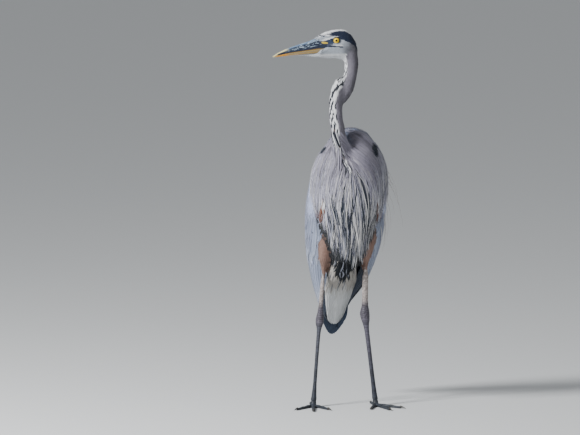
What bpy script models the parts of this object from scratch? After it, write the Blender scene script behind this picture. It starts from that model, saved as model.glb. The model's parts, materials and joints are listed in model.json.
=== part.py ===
"""A great blue heron standing alert, life size, as a still museum model.

The bird faces -Y, its left side is +X and +Z is up. All lengths below are in millimetres, in the
bird's own frame: the floor is Z = 0 and the body's plane of symmetry is X = 0. The last step sets the
whole model on the origin, so that the middle of its bounding box stands over (0, 0).
"""

import math

import bpy
from mathutils import Vector

MM = 0.001
GAP = 0.35            # clearance between neighbouring pieces

# Body
BACK_TOP = 675        # highest point of the mantle
VENT = 248            # lowest point of the trunk
TRUNK_SIDES = 24
TRUNK_RINGS = 16
WING_COLUMNS = 13
WING_TOP = 640        # wrist of the folded wing
WING_SPLIT = 330      # below this the folded wing is only flight feathers
WING_TIP = 170
PLUME_THICKNESS = 7   # depth of the hanging breast plumes

# Head and neck
HEAD_CENTRE = (-47.8, -105.2, 887)   # between the eyes, on the head's own plane of symmetry
HEAD_TURN = 80        # degrees that the head is turned to the bird's right
EYE_RADIUS = 9.2
EYE_OUT = 10.7        # eye centre from the head's plane of symmetry
EYE_BACK = 1.8        # and how far it lies behind the middle of the face
NECK_SIDES = 14

# Legs, one entry for each side: (x, y, z) of knee, heel and ankle
LEGS = {
    "left": {"sign": 1, "knee": (57, -16, 450), "heel": (50, 28, 222), "ankle": (71, 0, 11), "feather": 331},
    "right": {"sign": -1, "knee": (-47, -16, 450), "heel": (-58, 30, 216), "ankle": (-77.5, 6, 11), "feather": 318},
}
# Toes: (name, degrees outward from straight ahead, length, base radius)
TOES = (("inner", -24, 76, 4.6), ("middle", 4, 98, 5.0), ("outer", 33, 80, 4.6), ("hind", 176, 52, 4.4))
CLAW_LENGTH = 15

MATERIALS = {
    "plumage": ((0.30, 0.33, 0.40), 0.75),
    "pale_plumage": ((0.55, 0.56, 0.60), 0.75),
    "slate_plumage": ((0.06, 0.08, 0.12), 0.7),
    "rufous_plumage": ((0.33, 0.19, 0.14), 0.75),
    "bill_horn": ((0.20, 0.24, 0.28), 0.4),
    "bill_yellow": ((0.60, 0.36, 0.12), 0.4),
    "eye": ((0.85, 0.60, 0.03), 0.08),
    "leg_skin": ((0.22, 0.21, 0.21), 0.6),
    "claw_horn": ((0.03, 0.03, 0.03), 0.4),
}


def clear_scene():
    for obj in list(bpy.data.objects):
        bpy.data.objects.remove(obj)


def make_materials():
    made = {}
    for name, (colour, roughness) in MATERIALS.items():
        material = bpy.data.materials.new(name)
        material.use_nodes = True
        shader = material.node_tree.nodes["Principled BSDF"]
        shader.inputs["Base Color"].default_value = (*colour, 1)
        shader.inputs["Roughness"].default_value = roughness
        shader.inputs["Metallic"].default_value = 0
        made[name] = material
    return made


def along(table, t):
    """The row of a table at t, its first column, on a smooth curve through the rows."""
    keys = [row[0] for row in table]
    falling = keys[0] > keys[-1]
    i = 0
    while i < len(keys) - 2 and (t < keys[i + 1] if falling else t > keys[i + 1]):
        i += 1
    step = keys[i + 1] - keys[i]
    s = min(1, max(0, (t - keys[i]) / step))
    before, after = max(i - 1, 0), min(i + 2, len(keys) - 1)
    values = []
    for k in range(1, len(table[0])):
        a, b = table[i][k], table[i + 1][k]
        slope_a = (b - table[before][k]) / (keys[i + 1] - keys[before]) * step
        slope_b = (table[after][k] - a) / (keys[after] - keys[i]) * step
        values.append(
            a * (1 + 2 * s) * (1 - s) ** 2
            + slope_a * s * (1 - s) ** 2
            + b * s * s * (3 - 2 * s)
            - slope_b * s * s * (1 - s)
        )
    return values


def spread(first, last, count):
    return [first + (last - first) * i / (count - 1) for i in range(count)]


def new_object(name, points, faces, material):
    mesh = bpy.data.meshes.new(name)
    mesh.from_pydata([Vector(p) * MM for p in points], [], faces)
    mesh.validate()
    mesh.materials.append(material)
    mesh.shade_smooth()
    mesh.set_sharp_from_angle(angle=math.radians(50))
    obj = bpy.data.objects.new(name, mesh)
    bpy.context.scene.collection.objects.link(obj)
    return obj


def tube(name, rings, material):
    """A closed solid through rings of points that run anticlockwise seen from the last ring."""
    sides = len(rings[0])
    points = [p for ring in rings for p in ring]
    faces = [tuple(reversed(range(sides)))]
    for r in range(len(rings) - 1):
        for k in range(sides):
            a, b = r * sides + k, r * sides + (k + 1) % sides
            faces.append((a, b, b + sides, a + sides))
    faces.append(tuple(range((len(rings) - 1) * sides, len(points))))
    return new_object(name, points, faces, material)


def shell(name, outer, inner, material):
    """A closed sheet between two grids of points. Rows run down, columns run to the bird's left."""
    rows, columns = len(outer), len(outer[0])
    points = [p for row in outer for p in row] + [p for row in inner for p in row]
    half = rows * columns
    faces = []
    for r in range(rows - 1):
        for c in range(columns - 1):
            a = r * columns + c
            faces.append((a, a + columns, a + columns + 1, a + 1))
            faces.append((half + a, half + a + 1, half + a + columns + 1, half + a + columns))
    edge = [(0, c) for c in range(columns)] + [(r, columns - 1) for r in range(1, rows)]
    edge += [(rows - 1, c) for c in range(columns - 2, -1, -1)] + [(r, 0) for r in range(rows - 2, 0, -1)]
    loop = [r * columns + c for r, c in edge]
    for a, b in zip(loop, loop[1:] + loop[:1]):
        faces.append((a, b, half + b, half + a))
    return new_object(name, points, faces, material)


def boolean(obj, other, operation):
    """Cuts or joins other into obj. The helper stays in the file, hidden from the render."""
    modifier = obj.modifiers.new(operation.title(), "BOOLEAN")
    modifier.operation = operation
    modifier.solver = "EXACT"
    modifier.object = other
    other.hide_render = True
    other.display_type = "WIRE"


def circle(sides):
    return [2 * math.pi * k / sides for k in range(sides)]


# ---------------------------------------------------------------- trunk, wings and tail
# Level sections of the bare trunk: height, front of the breast, back, half width.
TRUNK = (
    (BACK_TOP, -76, -58, 12),
    (668, -94, -34, 32),
    (650, -110, -10, 48),
    (605, -127, 16, 68),
    (545, -131, 39, 78),
    (485, -119, 60, 82),
    (425, -93, 80, 71),
    (380, -62, 94, 53),
    (340, -26, 104, 41),
    (300, 18, 110, 31),
    (268, 56, 110, 20),
    (VENT, 84, 104, 7),
)
# Level sections of the cloak that the folded wings make: height, centre, depth before and behind
# it, half width.
CLOAK = (
    (WING_TOP, -66, 46, 56, 57),
    (600, -54, 66, 78, 79),
    (560, -42, 76, 86, 90),
    (500, -14, 82, 88, 96),
    (445, 12, 80, 84, 95),
    (400, 32, 74, 78, 91),
    (350, 58, 62, 68, 83),
    (300, 86, 46, 56, 69),
    (250, 115, 34, 43, 51),
    (210, 140, 24, 31, 35),
    (185, 157, 15, 20, 22),
    (WING_TIP, 168, 8, 10, 10),
)
# Level sections of the tail: height, centre, half depth, half width.
TAIL = (
    (292, 96, 15, 26),
    (270, 112, 13, 34),
    (235, 133, 8, 31),
    (205, 150, 6, 22),
    (180, 165, 4, 15),
    (160, 176, 3, 9),
    (152, 180, 2, 4),
)


def trunk_point(z, angle, grow=0):
    """A point of the trunk at height z; angle 0 is the breast and 90 degrees the bird's left."""
    front, back, width = along(TRUNK, z)
    centre, depth = (front + back) / 2, (back - front) / 2
    return ((width + grow) * math.sin(angle), centre - (depth + grow) * math.cos(angle), z)


def trunk_solid(name, grow, material):
    """grow makes the slightly larger copy that the pieces lying on the trunk are cut with."""
    rings = []
    for i in range(TRUNK_RINGS):
        s = i / (TRUNK_RINGS - 1)
        z = VENT + (BACK_TOP - VENT) * (s - math.sin(2 * math.pi * s) / 11)
        ring = [trunk_point(z, angle, grow) for angle in circle(TRUNK_SIDES)]
        rings.append(ring)
    if grow:
        rings[0] = [(x, y, z - grow) for x, y, z in rings[0]]
        rings[-1] = [(x, y, z + grow) for x, y, z in rings[-1]]
    return tube(name, rings, material)


def cloak_point(z, angle, inset=0):
    centre, front, back, width = along(CLOAK, z)
    depth = front if math.cos(angle) > 0 else back
    return ((width - inset) * math.sin(angle), centre - (depth - inset) * math.cos(angle), z)


def scallops(s, count, depth):
    """A row of rounded feather ends along s from 0 to 1."""
    return depth * abs(math.sin(math.pi * count * s))


def wing_front_edge(z):
    """Angle of the wing's leading edge, from the breast."""
    edge = ((WING_TOP, 62), (600, 46), (500, 42), (400, 49), (350, 52), (300, 37), (250, 32), (WING_TIP, 30))
    return math.radians(along(edge, z)[0])


def wing_back_edge(z):
    """Angle of the edge that lies along the back: the wings close over it further down."""
    return math.radians(
        along(((WING_TOP, 96), (600, 112), (540, 134), (470, 160), (400, 172), (WING_TIP, 174)), z)[0]
    )


def wing_grid(sign, top, bottom, columns, rows, inset, edge_inset, fingers=0):
    """Points of one wing between two heights. inset gives the depth under the cloak at each place."""
    grid = []
    for r in range(rows):
        row = []
        for c in range(columns):
            across = c / (columns - 1)
            down = r / (rows - 1)
            low = bottom(across)
            z = top(across) + (low - top(across)) * down
            angle = wing_front_edge(z) + (wing_back_edge(z) - wing_front_edge(z)) * across
            border = min(across, 1 - across) * 6
            depth = inset(z) if border >= 1 else inset(z) * border + edge_inset(z) * (1 - border)
            row.append(cloak_point(z, sign * angle, depth))
        grid.append(row if sign > 0 else row[::-1])
    return grid


def wing_solids(sign, side, materials):
    """The folded arm with its coverts, and below it the long flight feathers."""

    def thickness(z):
        return along(((WING_TOP, 12), (560, 12), (460, 11), (350, 7), (250, 4), (WING_TIP, 2.4)), z)[0]

    def covert_ends(across):
        return WING_SPLIT + 26 * math.cos(math.pi * across) - scallops(across, 3, 12)

    def feather_tops(across):
        return covert_ends(across) - 4 * GAP

    def feather_ends(across):
        return WING_TIP + 46 * (1 - across) ** 2 + scallops(across, 3, 8)

    def top(across):
        return WING_TOP - 34 * (2 * across - 1) ** 2

    def face(z):
        return 0

    def edge(z):
        return 0.35 * thickness(z)

    def under_edge(z):
        return 0.65 * thickness(z)

    wing = shell(
        f"wing_{side}",
        wing_grid(sign, top, covert_ends, WING_COLUMNS, 12, face, edge),
        wing_grid(sign, top, covert_ends, WING_COLUMNS, 12, thickness, under_edge),
        materials["plumage"],
    )
    flight = shell(
        f"flight_feathers_{side}",
        wing_grid(sign, feather_tops, feather_ends, WING_COLUMNS, 8, face, edge),
        wing_grid(sign, feather_tops, feather_ends, WING_COLUMNS, 8, thickness, under_edge),
        materials["slate_plumage"],
    )
    return wing, flight


def tail_solid(material):
    rings = []
    for z in spread(TAIL[-1][0], TAIL[0][0], 9):
        centre, depth, width = along(TAIL, z)
        rings.append([(width * math.sin(a), centre - depth * math.cos(a), z) for a in circle(14)])
    return tube("tail", rings, material)


# ---------------------------------------------------------------- breast plumes
def plume_point(z, angle, depth):
    return trunk_point(z, angle, GAP + depth)


def breast_plumes(name, grow, material):
    """The long plumes of the lower neck, hanging over the breast to a ragged edge."""
    columns, rows = 19, 11
    outer, inner = [], []
    for r in range(rows):
        down = r / (rows - 1)
        outer_row, inner_row = [], []
        for c in range(columns):
            side = 2 * c / (columns - 1) - 1
            low = 372 + 150 * abs(side) ** 2.2 + (0 if c % 2 else -34) * (1 - 0.5 * abs(side)) - grow
            top = 646 - 16 * abs(side) + grow
            z = top + (low - top) * down
            spread_degrees = along(((646, 58), (600, 60), (520, 56), (440, 46), (330, 40)), z)[0]
            angle = math.radians(spread_degrees + grow) * side
            rim = min(1, 3 * down, 2.2 * (1 - down) + 0.25, 2.5 * (1 - abs(side)) + 0.2)
            outer_row.append(plume_point(z, angle, PLUME_THICKNESS * rim + grow))
            inner_row.append(plume_point(z, angle, -2.5 - grow))
        outer.append(outer_row)
        inner.append(inner_row)
    return shell(name, outer, inner, material)


# ---------------------------------------------------------------- neck
# Centre line and radius of the lower neck, from inside the breast to the kink.
LOWER_NECK = (
    (0.0, -4, -66, 566, 34),
    (0.18, -21, -94, 606, 27),
    (0.38, -38, -117, 650, 20.5),
    (0.52, -42, -125, 681, 18.5),
    (0.65, -46, -127, 706, 17.2),
    (0.80, -45, -124, 740, 17.2),
    (0.90, -42, -121, 765, 16.5),
    (0.96, -38, -118, 783, 13),
    (1.0, -34, -115, 796, 7),
)
# The upper neck rises behind the kink and runs up into the head.
UPPER_NECK = (
    (0.0, -38, -119, 742, 15),
    (0.14, -28, -115, 757, 18.5),
    (0.30, -18, -111, 774, 19.5),
    (0.45, -11.5, -107, 792, 18.5),
    (0.62, -7, -102, 812, 18.6),
    (0.78, -5.5, -99, 832, 19.8),
    (1.0, -10, -99, 862, 21),
)


def swept(name, table, first, last, rings, sides, material, grow=0, depth=1.0):
    """A tube along a table of (share, x, y, z, radius); depth stretches it front to back."""
    made = []
    for s in spread(first, last, rings):
        x, y, z, radius = along(table, s)
        ahead, behind = along(table, min(s + 0.02, 1)), along(table, max(s - 0.02, 0))
        axis = (Vector(ahead[:3]) - Vector(behind[:3])).normalized()
        side = axis.cross(Vector((0, 1, 0))).normalized()
        front = axis.cross(side)
        ring = []
        for a in circle(sides):
            out = side * math.cos(a) * (radius + grow) + front * math.sin(a) * (radius + grow) * depth
            end = (s == last) - (s == first)
            ring.append(Vector((x, y, z)) + out + axis * end * grow)
        made.append(ring)
    return tube(name, made, material)


# ---------------------------------------------------------------- head
# The head's own frame: u forward along the face, v to its left, w up.
# Sections of the feathered head: u, top, bottom, half width.
HEAD = (
    (-59, -18, -36, 6),
    (-55, -9, -44, 12),
    (-46, 4, -50, 17.5),
    (-30, 19.5, -51, 20.5),
    (-14, 25, -48, 20.5),
    (2, 23.5, -44.5, 18.6),
    (18, 16.5, -43, 15.2),
    (30, 6, -41.5, 11.5),
    (44, -14, -40, 8),
    (58, -26, -38, 5),
    (68, -30.5, -36, 3),
    (80, -32.5, -35.5, 1.5),
)
# The bill: u, culmen, mouth line, lower edge, half width at the mouth line.
BILL = (
    (16, 13.5, -24, -31.5, 11.5),
    (30, 11.5, -23, -31, 10.8),
    (46, 5.6, -22, -31, 9.6),
    (64, -1.2, -21.6, -31, 8.2),
    (84, -6.4, -21.8, -32.2, 6.6),
    (104, -12.3, -23.2, -33.4, 5),
    (124, -18.8, -26.4, -34.4, 3.5),
    (142, -26.6, -31, -35.4, 1.9),
    (154.5, -34, -35.2, -36.2, 0.5),
)
MOUTH = 0.2           # half the gap between the closed halves of the bill


def head_frame():
    turn = math.radians(HEAD_TURN)
    forward = Vector((-math.sin(turn), -math.cos(turn), 0))
    up = Vector((0, 0, 1))
    return Vector(HEAD_CENTRE), forward, up.cross(forward), up


def from_head(u, v, w):
    centre, forward, left, up = head_frame()
    return centre + forward * u + left * v + up * w


def head_solid(material):
    rings = []
    for u in spread(HEAD[0][0], HEAD[-1][0], 17):
        top, bottom, width = along(HEAD, u)
        middle, height = (top + bottom) / 2, (top - bottom) / 2
        ring = []
        for a in circle(16):
            narrow = 1 - 0.12 * max(0, math.sin(a)) ** 2
            ring.append(from_head(u, width * math.cos(a) * narrow, middle + height * math.sin(a)))
        rings.append(ring)
    return tube("head", rings, material)


def bill_solid(name, upper, material, grow=0):
    rings = []
    for u in spread(BILL[0][0], BILL[-1][0], 14):
        top, mouth, bottom, width = along(BILL, u)
        edge = mouth + MOUTH - grow if upper else mouth - MOUTH + grow
        peak = top + grow if upper else bottom - grow
        ring = []
        for a in spread(0, math.pi, 8):
            v = (width + grow) * math.cos(a)
            w = edge + (peak - edge) * math.sin(a) ** 0.9
            ring.append(from_head(u, v, w))
        rings.append(ring if upper else ring[::-1])
    if grow:
        rings[-1] = [p + head_frame()[1] * grow for p in rings[-1]]
    return tube(name, rings, material)


def eye_solid(name, sign, material, grow=0):
    sides, rings = 12, []
    for polar in spread(0.12, math.pi - 0.12, 8):
        ring = []
        for a in circle(sides):
            radius = (EYE_RADIUS + grow) * math.sin(polar)
            out = sign * EYE_OUT - sign * (EYE_RADIUS + grow) * math.cos(polar)
            ring.append(from_head(radius * math.cos(a) - EYE_BACK, out, sign * radius * math.sin(a)))
        rings.append(ring[::-1])
    return tube(name, rings, material)


# ---------------------------------------------------------------- legs and feet
# Radii down the leg, by height over the ankle as a share of the ankle-to-heel length.
TARSUS_RADII = (
    (1.07, 7.6, 8.0),
    (1.03, 9.6, 10.5),
    (0.99, 10.6, 11.6),
    (0.94, 9.4, 10.2),
    (0.88, 7.2, 7.6),
    (0.78, 5.8, 6.4),
    (0.50, 5.2, 5.8),
    (0.22, 5.4, 5.8),
    (0.08, 6.2, 6.6),
    (0.03, 7.2, 7.2),
)
SHANK_RADIUS = 6.2
THIGH_RADII = ((450, 17, 26), (410, 20, 26), (384, 18.4, 21), (360, 15.4, 16.5), (340, 11.8, 12), (322, 8.4, 8.6))


def leg_line(leg, z):
    """Centre of the leg at height z: the shin runs from knee to heel, then the tarsus to the ankle."""
    knee, heel, ankle = (Vector(leg[k]) for k in ("knee", "heel", "ankle"))
    upper, lower = (knee, heel) if z > heel.z else (heel, ankle)
    return lower + (upper - lower) * ((z - lower.z) / (upper.z - lower.z))


def level_tube(name, leg, heights, radii, sides, material, grow=0):
    rings = []
    for z in heights:
        centre = leg_line(leg, z)
        across, deep = radii(z)
        ring = []
        for a in circle(sides):
            offset = Vector(((across + grow) * math.cos(a), (deep + grow) * math.sin(a), 0))
            ring.append(centre + offset)
        rings.append(ring)
    return tube(name, rings, material)


def thigh_solid(name, leg, grow, material):
    """The feathered part of the shin, rising into the belly."""
    feather = leg["feather"]

    def radii(z):
        return along(THIGH_RADII, z - (feather - 331) * (450 - z) / (450 - feather))

    return level_tube(name, leg, spread(feather - grow, 450, 9), radii, 16, material, grow)


def bare_leg_solids(side, leg, material):
    """The bare shin and, below the joint, the tarsus with the knobbly heel."""
    heel_z, ankle_z = leg["heel"][2], leg["ankle"][2]
    top, bottom = leg["feather"] - GAP, ankle_z + (heel_z - ankle_z) * TARSUS_RADII[0][0]

    def shank(z):
        blend = min(1, max(0, (z - bottom) / 14))
        across, deep = along(TARSUS_RADII, TARSUS_RADII[0][0])
        return across + (SHANK_RADIUS - across) * blend, deep + (SHANK_RADIUS + 0.6 - deep) * blend

    def tarsus(z):
        return along(TARSUS_RADII, (z - ankle_z) / (heel_z - ankle_z))

    level_tube(f"shank_{side}", leg, spread(bottom + GAP, top, 7), shank, 10, material)
    shares = (0.03, 0.08, 0.22, 0.50, 0.78, 0.84, 0.88, 0.92, 0.955, 0.99, 1.01, 1.03, 1.05, 1.07)
    heights = [ankle_z + (heel_z - ankle_z) * share for share in shares]
    level_tube(f"tarsus_{side}", leg, heights, tarsus, 10, material)


def toe_direction(leg, degrees):
    turn = math.radians(degrees + 6) * leg["sign"]
    return Vector((math.sin(turn), -math.cos(turn), 0))


def toe(name, leg, degrees, length, radius, material):
    """One toe with a knuckle at each bone, thinning to the claw."""
    direction = toe_direction(leg, degrees)
    side = Vector((0, 0, 1)).cross(direction)
    rings = []
    for s in spread(0, 1, 9):
        knuckle = 1 + 0.10 * math.cos(2 * math.pi * 3 * s)
        r = radius * (1 - 0.30 * s) * knuckle
        centre = Vector((leg["ankle"][0], leg["ankle"][1], 0)) + direction * (2 + (length - 2) * s)
        centre.z = r * 0.78
        rings.append([centre + side * r * math.cos(a) + Vector((0, 0, r * math.sin(a))) for a in circle(6)])
    return tube(name, rings, material)


def foot_solid(side, leg, materials, floor):
    """Four toes joined under the ankle, with their soles cut flat on the floor."""
    ankle_z = leg["ankle"][2]
    radii = along(TARSUS_RADII, 0.03)
    top = ankle_z + (leg["heel"][2] - ankle_z) * 0.03 - GAP
    foot = level_tube(
        f"foot_{side}", leg, [0.6, 3, 6, 9, top], lambda z: [r * (1.12 - 0.02 * z) for r in radii], 12,
        materials["leg_skin"],
    )
    for name, degrees, length, radius in TOES:
        part = toe(f"toe_shape_{side}_{name}", leg, degrees, length, radius, materials["leg_skin"])
        boolean(foot, part, "UNION")
    boolean(foot, floor, "DIFFERENCE")
    return foot


def claw_solids(side, leg, material):
    """A curved claw in front of each toe, its point just off the floor."""
    for name, degrees, length, radius in TOES:
        direction = toe_direction(leg, degrees)
        across = Vector((0, 0, 1)).cross(direction)
        start = Vector((leg["ankle"][0], leg["ankle"][1], 0)) + direction * (length + GAP)
        base = radius * 0.62
        rings = []
        for s in spread(0, 1, 5):
            r = base * (1 - 0.9 * s ** 1.4)
            centre = start + direction * CLAW_LENGTH * s
            centre.z = 0.9 + base * 1.05 * math.cos(s * 1.45) + r * 0.25
            rings.append(
                [centre + across * r * 0.8 * math.cos(a) + Vector((0, 0, r * math.sin(a))) for a in circle(6)]
            )
        tube(f"claw_{side}_{name}", rings, material)


def floor_cutter(material):
    size = 400
    points = [(x, y, z) for z in (-60, 0) for x, y in ((-size, -size), (size, -size), (size, size), (-size, size))]
    faces = [(3, 2, 1, 0), (4, 5, 6, 7), (0, 1, 5, 4), (1, 2, 6, 5), (2, 3, 7, 6), (3, 0, 4, 7)]
    return new_object("floor_cutter", points, faces, material)


# ---------------------------------------------------------------- assembly
def build_body(materials):
    trunk = trunk_solid("trunk", 0, materials["plumage"])
    clearance = trunk_solid("trunk_clearance", GAP, materials["plumage"])
    plumes = breast_plumes("breast_plumes", 0, materials["pale_plumage"])
    under_plumes = breast_plumes("breast_plume_clearance", GAP, materials["pale_plumage"])
    tail = tail_solid(materials["slate_plumage"])
    boolean(plumes, clearance, "DIFFERENCE")
    boolean(tail, clearance, "DIFFERENCE")
    for side, leg in LEGS.items():
        around_thigh = thigh_solid(f"thigh_clearance_{side}", leg, GAP, materials["rufous_plumage"])
        for piece in wing_solids(leg["sign"], side, materials):
            for cutter in (clearance, under_plumes, around_thigh):
                boolean(piece, cutter, "DIFFERENCE")
    return trunk, plumes, clearance


def build_neck_and_head(materials, clearance, plumes):
    depth = 1.08
    lower = swept("neck_lower", LOWER_NECK, 0, 1, 14, NECK_SIDES, materials["plumage"], depth=depth)
    grown = swept("neck_clearance", LOWER_NECK, 0, 1, 14, NECK_SIDES, materials["plumage"], GAP, depth)
    boolean(lower, clearance, "DIFFERENCE")
    boolean(plumes, grown, "DIFFERENCE")
    upper = swept("neck_upper", UPPER_NECK, 0, 1, 10, NECK_SIDES, materials["plumage"])
    boolean(upper, grown, "DIFFERENCE")
    head = head_solid(materials["pale_plumage"])
    rim = swept("upper_neck_clearance", UPPER_NECK, 0, 1, 10, NECK_SIDES, materials["plumage"], GAP)
    boolean(head, rim, "DIFFERENCE")
    for name, is_upper, material in (("bill_upper", True, "bill_horn"), ("bill_lower", False, "bill_yellow")):
        bill_solid(name, is_upper, materials[material])
        boolean(head, bill_solid(f"{name}_clearance", is_upper, materials[material], GAP), "DIFFERENCE")
    for side, sign in (("left", 1), ("right", -1)):
        eye_solid(f"eye_{side}", sign, materials["eye"])
        boolean(head, eye_solid(f"eye_socket_{side}", sign, materials["eye"], GAP), "DIFFERENCE")


def build_legs(materials, clearance):
    floor = floor_cutter(materials["leg_skin"])
    for side, leg in LEGS.items():
        thigh = thigh_solid(f"thigh_{side}", leg, 0, materials["rufous_plumage"])
        boolean(thigh, clearance, "DIFFERENCE")
        bare_leg_solids(side, leg, materials["leg_skin"])
        foot_solid(side, leg, materials, floor)
        claw_solids(side, leg, materials["claw_horn"])


def stand_on_origin():
    """Moves everything so that the middle of the underside of the bounding box is the origin."""
    depsgraph = bpy.context.evaluated_depsgraph_get()
    low, high = Vector((9, 9, 9)), Vector((-9, -9, -9))
    for obj in bpy.data.objects:
        if not obj.hide_render:
            for vertex in obj.evaluated_get(depsgraph).data.vertices:
                for axis in range(3):
                    low[axis] = min(low[axis], vertex.co[axis])
                    high[axis] = max(high[axis], vertex.co[axis])
    shift = Vector((-(low.x + high.x) / 2, -(low.y + high.y) / 2, -low.z))
    for obj in bpy.data.objects:
        obj.location = shift


def main():
    clear_scene()
    materials = make_materials()
    trunk, plumes, clearance = build_body(materials)
    build_neck_and_head(materials, clearance, plumes)
    build_legs(materials, clearance)
    stand_on_origin()


main()
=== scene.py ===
# %% [markdown]
# # A great blue heron, standing
# The solids of the bird are loaded as a frame, and this lesson dresses them: one skin over all the
# flesh, a horny bill, bright eyes, scaled legs, and a coat in which every feather is a thin mesh.

# %% Frame
import json
import math

import bmesh
import bpy
import numpy as np
from mathutils import Matrix, Vector
from mathutils.bvhtree import BVHTree
from mathutils.kdtree import KDTree

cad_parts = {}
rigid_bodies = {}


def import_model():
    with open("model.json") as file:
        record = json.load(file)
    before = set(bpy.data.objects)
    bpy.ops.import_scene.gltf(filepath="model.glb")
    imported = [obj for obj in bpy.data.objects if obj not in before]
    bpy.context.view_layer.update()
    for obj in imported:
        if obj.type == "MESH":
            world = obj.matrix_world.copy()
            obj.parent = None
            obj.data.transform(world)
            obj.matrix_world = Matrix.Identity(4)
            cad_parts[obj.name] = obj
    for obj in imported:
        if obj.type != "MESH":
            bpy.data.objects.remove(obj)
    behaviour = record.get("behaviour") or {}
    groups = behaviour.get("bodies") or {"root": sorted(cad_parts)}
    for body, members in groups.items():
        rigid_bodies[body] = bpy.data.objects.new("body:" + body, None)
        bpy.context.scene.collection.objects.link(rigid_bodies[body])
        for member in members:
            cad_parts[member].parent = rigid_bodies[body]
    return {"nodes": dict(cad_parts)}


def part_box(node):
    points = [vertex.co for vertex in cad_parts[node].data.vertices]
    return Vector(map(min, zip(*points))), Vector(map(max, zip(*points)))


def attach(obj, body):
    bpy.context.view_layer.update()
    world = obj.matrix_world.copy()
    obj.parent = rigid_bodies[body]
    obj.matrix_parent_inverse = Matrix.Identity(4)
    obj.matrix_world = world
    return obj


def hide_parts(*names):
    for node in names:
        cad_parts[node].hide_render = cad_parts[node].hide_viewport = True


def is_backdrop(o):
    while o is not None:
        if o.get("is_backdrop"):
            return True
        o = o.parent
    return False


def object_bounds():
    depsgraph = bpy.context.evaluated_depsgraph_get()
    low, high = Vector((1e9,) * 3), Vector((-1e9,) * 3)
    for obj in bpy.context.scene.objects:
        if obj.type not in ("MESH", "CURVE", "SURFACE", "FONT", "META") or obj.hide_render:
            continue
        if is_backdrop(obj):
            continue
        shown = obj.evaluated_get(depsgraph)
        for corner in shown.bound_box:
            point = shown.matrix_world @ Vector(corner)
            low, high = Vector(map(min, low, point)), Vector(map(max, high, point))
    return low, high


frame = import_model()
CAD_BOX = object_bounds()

MM = 0.001
rng = np.random.default_rng(11)
print("CAD nodes:", len(frame["nodes"]))

# %% [markdown]
# ## Landmarks
# A heron turns its head far round on its neck, so the head has its own frame: u runs forward along
# the bill, v to the bird's left and w up, from a point between the eyes. The two eyes give it. The
# body's frame starts on the floor, under the breast, on the body's plane of symmetry.

# %% Landmarks


def middle(node):
    low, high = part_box(node)
    return (low + high) / 2


UP = Vector((0, 0, 1))
EYES = {"left": middle("eye_left"), "right": middle("eye_right")}
HEAD_LEFT = (EYES["left"] - EYES["right"]).normalized()
HEAD_FORWARD = HEAD_LEFT.cross(UP)
EYE_RADIUS = (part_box("eye_left")[1].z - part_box("eye_left")[0].z) / 2
HEAD_ORIGIN = (EYES["left"] + EYES["right"]) / 2 + HEAD_FORWARD * 1.8 * MM
HEAD_AXES = np.array([HEAD_FORWARD, HEAD_LEFT, UP])
BREAST_DEPTH = 131.5 * MM
BODY_ORIGIN = Vector((middle("trunk").x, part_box("trunk")[0].y + BREAST_DEPTH, 0))


def to_head(points):
    """Scene points in metres to (u, v, w) in mm."""
    return (np.asarray(points) - np.array(HEAD_ORIGIN)) @ HEAD_AXES.T / MM


def from_head(points):
    return np.asarray(points, float) * MM @ HEAD_AXES + np.array(HEAD_ORIGIN)


def to_bird(points):
    """Scene points in metres to the body's frame in mm."""
    return (np.asarray(points) - np.array(BODY_ORIGIN)) / MM


def from_bird(points):
    return np.asarray(points, float) * MM + np.array(BODY_ORIGIN)


print("head forward", [round(c, 3) for c in HEAD_FORWARD], "eye radius mm", round(EYE_RADIUS / MM, 2))

# %% [markdown]
# ## Helpers
# Colours are written as sRGB hex, as on a paint chart, and one function turns them linear. Node trees
# are built with two helpers: one gives inputs their values and links, the other adds a node.

# %% Helpers


def linear(code):
    channel = np.array([int(code[i:i + 2], 16) for i in (1, 3, 5)]) / 255
    return np.where(channel <= 0.04045, channel / 12.92, ((channel + 0.055) / 1.055) ** 2.4)


def rgba(code):
    return (*linear(code), 1.0)


def unit(vectors):
    return vectors / np.maximum(np.linalg.norm(vectors, axis=-1, keepdims=True), 1e-9)


def ramp(low, high, value):
    t = np.clip((value - low) / (high - low), 0, 1)
    return t * t * (3 - 2 * t)


def blend(a, b, share):
    """Mixes rows of a and b; share 0 gives a and 1 gives b."""
    share = np.asarray(share)[..., None]
    return a * (1 - share) + b * share


def layered(colour, *layers):
    """Lays further colours over a first one, each with its own share."""
    for over, share in layers:
        colour = blend(colour, over, share)
    return colour


def give(node, inputs):
    """Gives each input of a node a value or a link; a node stands for its first output."""
    for key, value in inputs.items():
        if isinstance(value, bpy.types.Node):
            value = value.outputs[0]
        if isinstance(value, bpy.types.NodeSocket):
            node.id_data.links.new(value, node.inputs[key])
        else:
            node.inputs[key].default_value = value


def add(tree, kind, inputs=None, **settings):
    """Adds a node, sets its settings and gives it its inputs. A kind without the word Node is one of
    the tree's own, shader or geometry."""
    node = tree.nodes.new(kind if "Node" in kind else tree.bl_idname[:-4] + kind)
    for name, value in settings.items():
        setattr(node, name, value)
    give(node, inputs or {})
    return node


def new_material(name, **inputs):
    """A material with its node tree and its shader, whose inputs are named with _ for a space."""
    material = bpy.data.materials.new(name)
    material.use_nodes = True
    tree = material.node_tree
    shader = tree.nodes["Principled BSDF"]
    give(shader, {key.replace("_", " "): value for key, value in inputs.items()})
    return material, tree, shader


def link_object(name, mesh):
    obj = bpy.data.objects.new(name, mesh)
    bpy.context.scene.collection.objects.link(obj)
    return obj


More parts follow.
